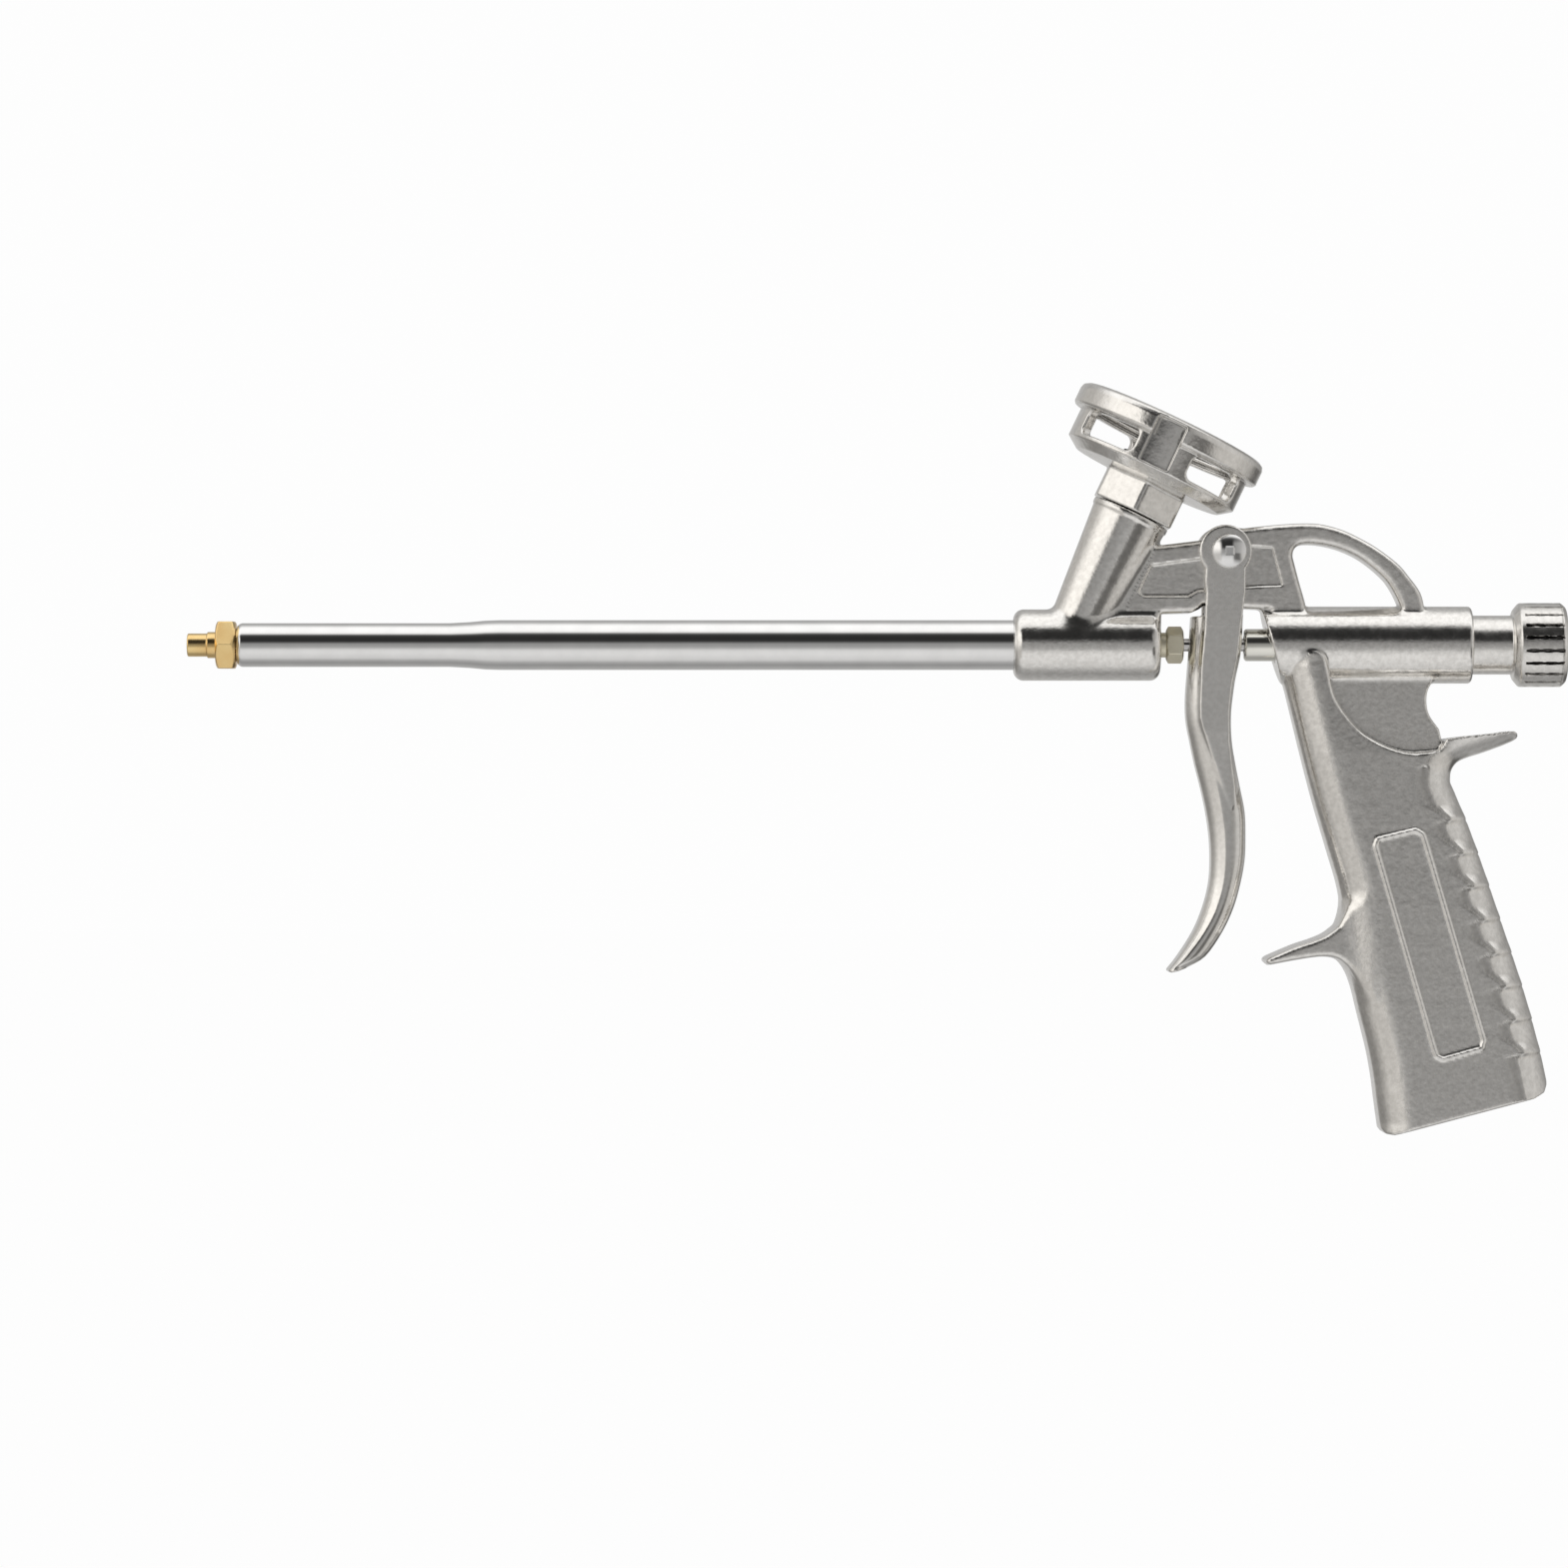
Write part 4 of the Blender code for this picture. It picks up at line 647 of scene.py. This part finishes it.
# Colour sockets of a Mix node.
MIX_A, MIX_B, MIX_RESULT = 6, 7, 2


class Graph:
    """Small helper that adds and links shader nodes in one node tree."""

    def __init__(self, tree):
        self.tree = tree

    def add(self, kind, **values):
        node = self.tree.nodes.new(kind)
        for key, value in values.items():
            if hasattr(node, key):
                setattr(node, key, value)
            else:
                node.inputs[key].default_value = value
        return node

    def feed(self, value, socket):
        """Link an output to a socket, or set the socket to a number or a colour."""
        if isinstance(value, bpy.types.NodeSocket):
            self.tree.links.new(value, socket)
        elif isinstance(value, tuple):
            socket.default_value = (*value, 1)
        else:
            socket.default_value = value

    def noise(self, scale, detail=3.0, stretch=None):
        place = self.add("ShaderNodeTexCoord").outputs["Object"]
        if stretch:
            mapping = self.add("ShaderNodeMapping", Scale=stretch)
            self.feed(place, mapping.inputs["Vector"])
            place = mapping.outputs["Vector"]
        node = self.add("ShaderNodeTexNoise", Scale=scale, Detail=detail)
        self.feed(place, node.inputs["Vector"])
        return node.outputs["Fac"]

    def ranged(self, source, low, high, start=0.35, end=0.65):
        node = self.add("ShaderNodeMapRange")
        for key, value in (("Value", source), ("From Min", start), ("From Max", end), ("To Min", low),
                           ("To Max", high)):
            self.feed(value, node.inputs[key])
        return node.outputs["Result"]

    def mixed(self, share, a, b, blend="MIX"):
        node = self.add("ShaderNodeMix", data_type="RGBA", blend_type=blend)
        self.feed(share, node.inputs["Factor"])
        self.feed(a, node.inputs[MIX_A])
        self.feed(b, node.inputs[MIX_B])
        return node.outputs[MIX_RESULT]

    def math(self, kind, *values):
        node = self.add("ShaderNodeMath", operation=kind)
        for value, socket in zip(values, node.inputs):
            self.feed(value, socket)
        return node.outputs[0]

    def bump(self, height, distance, normal=None):
        node = self.add("ShaderNodeBump", Distance=distance)
        self.feed(height, node.inputs["Height"])
        if normal is not None:
            self.feed(normal, node.inputs["Normal"])
        return node.outputs["Normal"]

    def attribute(self, name):
        return self.add("ShaderNodeAttribute", attribute_name=name).outputs["Fac"]

    def ramp(self, source, stops):
        """Curve through (position, value) stops, slightly warm."""
        node = self.add("ShaderNodeValToRGB")
        self.feed(source, node.inputs[0])
        elements = node.color_ramp.elements
        elements.remove(elements[-1])
        elements[0].position = stops[0][0]
        for position, value in stops:
            stop = elements[0] if position == stops[0][0] else elements.new(position)
            stop.color = (value, value * 0.99, value * 0.975, 1)
        return node.outputs["Color"]


def new_material(name, metallic=0.0):
    """Material with a graph to build it in, and its Principled shader's sockets."""
    made = bpy.data.materials.new(name)
    made.use_nodes = True
    sockets = made.node_tree.nodes["Principled BSDF"].inputs
    sockets["Metallic"].default_value = metallic
    return made, Graph(made.node_tree), sockets


def cast_metal(name, bright, dull, rough, grain, waviness, blast=0.0, crevice_shade=0.75):
    """Plated casting: fine grain, slow waviness, darker pores, painted shade in corners and grooves, and a
    blasted finish where marked flat.
    """
    made, g, sockets = new_material(name, 1.0)
    fine = g.noise(1700, 3)
    mid = g.noise(900, 3)
    slow = g.noise(430, 3)
    clean = g.mixed(g.ranged(mid, 0, 1), dull, bright)
    # Painted shade: where the crevice mark is high, the colour goes toward near black, as shade in corners and
    # grooves would.
    painted_shade = g.math("MULTIPLY", g.attribute("crevice"), crevice_shade)
    g.feed(g.mixed(painted_shade, clean, (0.09, 0.085, 0.08)), sockets["Base Color"])
    roughness = g.ranged(slow, rough - 0.05, rough + 0.05)
    height = fine
    if blast:
        flat = g.attribute("flat")
        roughness = g.math("ADD", roughness, g.math("MULTIPLY", flat, blast))
        pitted = g.math("MULTIPLY", g.math("MULTIPLY", mid, flat), 2.2)
        height = g.math("ADD", g.math("MULTIPLY", fine, 0.6), pitted)
    g.feed(roughness, sockets["Roughness"])
    g.feed(g.bump(slow, waviness, g.bump(height, grain)), sockets["Normal"])
    return made


def turned_metal(name, bright, dull, rough, streak=0.0, spread=0.02):
    """Turned or plated metal with faint lathe rings across x and slight stains."""
    made, g, sockets = new_material(name, 1.0)
    g.feed(g.mixed(g.ranged(g.noise(180, 3), 0, 1), dull, bright), sockets["Base Color"])
    g.feed(g.ranged(g.noise(420, 2), rough - spread, rough + spread), sockets["Roughness"])
    if streak:
        g.feed(g.bump(g.noise(1.0, 2, (5200, 60, 60)), streak), sockets["Normal"])
    return made


def soft_material(name, colour, dull, rough, grain=0.00003):
    """Rubber or plastic with a fine matte grain."""
    made, g, sockets = new_material(name)
    g.feed(g.mixed(g.ranged(g.noise(600, 3), 0, 1), dull, colour), sockets["Base Color"])
    g.feed(g.ranged(g.noise(900, 2), rough - 0.06, rough + 0.06), sockets["Roughness"])
    g.feed(g.bump(g.noise(2400, 3), grain), sockets["Normal"])
    return made


def dress(obj, material):
    """Give an object one material."""
    obj.data.materials.clear()
    obj.data.materials.append(material)
    return obj


CAST = cast_metal("nickel_casting", (0.95, 0.935, 0.91), (0.82, 0.805, 0.78), 0.12, 0.00003, 0.00004,
                  blast=0.22)
TRIGGER_METAL = cast_metal("nickel_trigger", (0.96, 0.945, 0.92), (0.87, 0.855, 0.83), 0.13, 0.00001,
                           0.00002, blast=0.14)
ADAPTER_METAL = cast_metal("nickel_adapter", (0.94, 0.925, 0.90), (0.84, 0.825, 0.80), 0.16, 0.00002, 0.00007)
# The knob takes the strongest painted shade in its grooves.
KNOB_METAL = cast_metal("nickel_knob", (0.92, 0.905, 0.88), (0.82, 0.805, 0.78), 0.17, 0.00002, 0.00003,
                        crevice_shade=0.97)
CHROME = turned_metal("chrome", (0.93, 0.93, 0.93), (0.88, 0.88, 0.88), 0.05, 0.0, 0.01)
BRASS = turned_metal("brass", (1.0, 0.76, 0.37), (0.93, 0.64, 0.28), 0.18, 0.000003)
ZINC = turned_metal("yellow_zinc", (1.0, 0.96, 0.80), (0.94, 0.89, 0.72), 0.48, 0.000002)
STEEL = turned_metal("ground_steel", (0.72, 0.71, 0.70), (0.60, 0.59, 0.58), 0.16, 0.000002)
SLEEVE_METAL = turned_metal("pale_chrome", (0.92, 0.91, 0.85), (0.86, 0.85, 0.78), 0.05, 0.0, 0.01)
WIRE = turned_metal("spring_wire", (0.42, 0.42, 0.42), (0.30, 0.30, 0.30), 0.32, 0.0)
RUBBER = soft_material("black_rubber", (0.025, 0.025, 0.025), (0.015, 0.015, 0.015), 0.62)
PTFE = soft_material("ptfe", (0.82, 0.81, 0.77), (0.76, 0.75, 0.71), 0.45)

# ---------------------------------------------------------------- build the pieces

COARSEN = 1.0
dress(make_body(0.42 * COARSEN), CAST)
dress(make_trigger(0.36 * COARSEN), TRIGGER_METAL)
dress(make_adapter(0.34 * COARSEN), ADAPTER_METAL)

BARREL = rounded([
    (-230.0, BARREL_THIN_R - 1.0), (-230.0, 4.55), (-229.2, BARREL_THIN_R), (-180.6, BARREL_THIN_R),
    (-176.0, 5.35), (-172.5, 5.68), (-169.0, BARREL_WIDE_R), (-42.7, BARREL_WIDE_R), (-42.3, 5.4),
    (-42.3, BARREL_WIDE_R - 1.0), (-168.0, BARREL_WIDE_R - 1.0), (-179.6, BARREL_THIN_R - 1.0)], 0.5)
dress(turned("barrel_fine", BARREL, "barrel", "gun_body", 128), CHROME)

small_surface("gland_nut_fine", "gland_nut", "gun_body", gland_field,
              (-21.8, -5.0, -5.0), (-9.2, 5.0, 5.0), 0.15, ZINC)
small_surface("nozzle_tip_fine", "nozzle_tip", "gun_body", nozzle_field,
              (-242.3, -6.6, -6.6), (-220.7, 6.6, 6.6), 0.18, BRASS)
small_surface("pivot_screw_fine", "pivot_screw", "gun_body", screw_field,
              (-4.3, -11.3, PIVOT_Z - 4.3), (4.3, 4.5, PIVOT_Z + 4.3), 0.12, CHROME)
dress(make_knob(), KNOB_METAL)
SLEEVE = rounded([(3.9, 2.1), (3.9, 3.3), (4.35, SLEEVE_R), (24.0, SLEEVE_R), (24.0, 6.4), (24.2, 6.6),
                  (26.8, 6.6), (27.0, 6.4), (27.0, NEEDLE_HOLE_R), (4.3, NEEDLE_HOLE_R)], 0.2)
dress(turned("pull_sleeve_fine", SLEEVE, "pull_sleeve", "needle_group", 96), SLEEVE_METAL)
FAR_HEAD = [(4.9, 0.0), (4.9, 1.8), (-8.1, 1.8), (-8.1, 2.35), (-7.95, 2.5), (8.6, 2.5), (8.6, 3.8),
            (8.75, 3.9), (9.1, 3.9)]
DOME_TURNS = [math.radians(a) for a in range(52, 0, -8)]
FAR_HEAD += [(6.44 + 4.46 * math.cos(a), 4.46 * math.sin(a)) for a in DOME_TURNS]
FAR_HEAD += [(10.9, 0.0)]
ACROSS = Matrix.Translation((0, 0, PIVOT_Z)) @ Matrix.Rotation(math.pi / 2, 4, "Z")
dress(turned("pivot_sleeve_nut_fine", FAR_HEAD, "pivot_sleeve_nut", "gun_body", 64, ACROSS), CHROME)

for node, material in (
    ("barrel_o_ring", RUBBER), ("gland_packing", PTFE), ("gland_washer", STEEL), ("adapter_gasket", RUBBER),
    ("can_seal_ring", RUBBER), ("valve_seat", PTFE), ("check_ball", STEEL), ("valve_spring", WIRE),
    ("valve_retainer", BRASS), ("needle", STEEL), ("needle_lock_nut", ZINC), ("spring_washer_front", STEEL),
    ("return_spring", WIRE), ("spring_washer_rear", STEEL), ("knob_friction_ring", RUBBER),
):
    obj = frame["nodes"][node]
    for place in obj.material_slots:
        place.material = material

# ---------------------------------------------------------------- light, floor and camera


# Brightness round the long axis of the part, by angle in degrees: 0 is in front, 90 above, -90 below.
AROUND = ((-180, 0.60), (-150, 0.45), (-131, 0.38), (-107, 0.30), (-90, 0.40), (-73, 0.64), (-46, 0.74),
          (-33, 0.74),
          (-24, 0.66), (-14, 0.42), (-4, 0.32), (4, 0.30), (10, 0.16), (17, 0.04), (26, 0.025), (40, 0.03),
          (49, 0.06), (55, 0.25), (61, 0.80), (70, 1.05), (98, 1.10), (112, 0.85), (124, 0.5), (148, 0.40),
          (180, 0.55))
# The rest goes by one component of the direction, from -1 to 1: the ends of the tent, where they take over,
# and how they fade toward the back, toward the floor and in one dull patch below on the right.
ENDS = ((-1, 1.1), (-0.55, 1.1), (-0.4, 0.5), (0.2, 0.30), (0.5, 0.34), (0.7, 0.42), (0.84, 0.54), (1, 0.6))
ENDS_REACH = ((-1, 1), (-0.6, 1), (-0.42, 0), (0.2, 0), (0.36, 0.9), (0.5, 1), (1, 1))
LEFT_FADE = ((-1, 1), (-0.25, 1), (0.0, 0.78), (0.3, 0.5), (0.6, 0.42), (1, 0.5))
RIGHT_FADE = ((-1, 1), (0.0, 1), (0.5, 0.8), (1, 0.85))
LEFT_FOOT = ((-1, 0.5), (-0.2, 0.5), (0.0, 0.72), (0.22, 1), (1, 1))
RIGHT_PATCH = ((-1, 1), (0.25, 1), (0.36, 0.38), (0.64, 0.38), (0.78, 1), (1, 1))
PLAIN = 0.985


def light_tent():
    """World that is bright above and behind, grey in front and dark in a band above eye level."""
    world_data = bpy.data.worlds.new("light_tent")
    bpy.context.scene.world = world_data
    world_data.use_nodes = True
    world_data.node_tree.nodes.clear()
    g = Graph(world_data.node_tree)
    place = g.add("ShaderNodeTexCoord")
    split = g.add("ShaderNodeSeparateXYZ")
    g.feed(place.outputs["Generated"], split.inputs[0])
    x, y, z = split.outputs

    def by(component, stops):
        share = g.math("MULTIPLY_ADD", component, 0.5, 0.5)
        return g.ramp(share, [((at + 1) / 2, value) for at, value in stops])

    def limited(source, slope, start):
        """Ramp from 0 to 1."""
        return g.math("MINIMUM", g.math("MAXIMUM", g.math("MULTIPLY_ADD", source, slope, start), 0.0), 1.0)

    turn = g.math("ARCTAN2", z, g.math("MULTIPLY", y, -1.0))
    share = g.math("MULTIPLY_ADD", turn, 0.5 / math.pi, 0.5)
    around = g.ramp(share, [((at + 180) / 360, value) for at, value in AROUND])
    right = g.math("GREATER_THAN", x, 0.0)
    ends = g.mixed(1.0, by(x, ENDS), g.mixed(right, by(y, LEFT_FADE), by(y, RIGHT_FADE)), "MULTIPLY")
    foot = g.mixed(limited(z, -10.0, -0.8), (1.0, 1.0, 1.0), by(x, RIGHT_PATCH))
    ends = g.mixed(1.0, ends, g.mixed(right, by(z, LEFT_FOOT), foot), "MULTIPLY")
    level = limited(g.math("ABSOLUTE", z), -1 / 0.3, 0.78 / 0.3)
    tent = g.mixed(g.math("MULTIPLY", by(x, ENDS_REACH), level), around, ends)

    shade = g.add("ShaderNodeBackground")
    g.feed(tent, shade.inputs["Color"])
    plain = g.add("ShaderNodeBackground", Color=(PLAIN, PLAIN, PLAIN, 1))
    pick = g.add("ShaderNodeMixShader")
    g.feed(g.add("ShaderNodeLightPath").outputs["Is Camera Ray"], pick.inputs[0])
    g.feed(shade.outputs[0], pick.inputs[1])
    g.feed(plain.outputs[0], pick.inputs[2])
    g.feed(pick.outputs[0], g.add("ShaderNodeOutputWorld").inputs["Surface"])


def floor():
    """Pale floor far enough below to leave the held part free, as bright as the plain background."""
    z = packed_box[0][2] - 0.09
    mesh = bpy.data.meshes.new("floor")
    mesh.from_pydata([(-6, -6, z), (6, -6, z), (6, 6, z), (-6, 6, z)], [], [(0, 1, 2, 3)])
    obj = bpy.data.objects.new("floor", mesh)
    bpy.context.collection.objects.link(obj)
    paint, _, sockets = new_material("floor_paint")
    for socket, value in (
        ("Base Color", (0.02, 0.02, 0.02, 1)), ("Roughness", 1.0), ("Specular IOR Level", 0.0),
        ("Emission Color", (1, 1, 1, 1)), ("Emission Strength", 0.97),
    ):
        sockets[socket].default_value = value
    obj.data.materials.append(paint)
    obj.visible_glossy = False
    obj.visible_diffuse = False


def camera():
    """Long lens square on to the near side."""
    data = bpy.data.cameras.new("camera")
    data.sensor_width = 36.0
    data.lens = 148.1
    data.clip_end = 50
    obj = bpy.data.objects.new("camera", data)
    obj.location = world(-103.0, -1500.0, -32.3)
    obj.rotation_euler = (math.pi / 2, 0, 0)
    bpy.context.collection.objects.link(obj)
    bpy.context.scene.camera = obj


light_tent()
floor()
camera()
bpy.context.scene.view_settings.view_transform = "Standard"
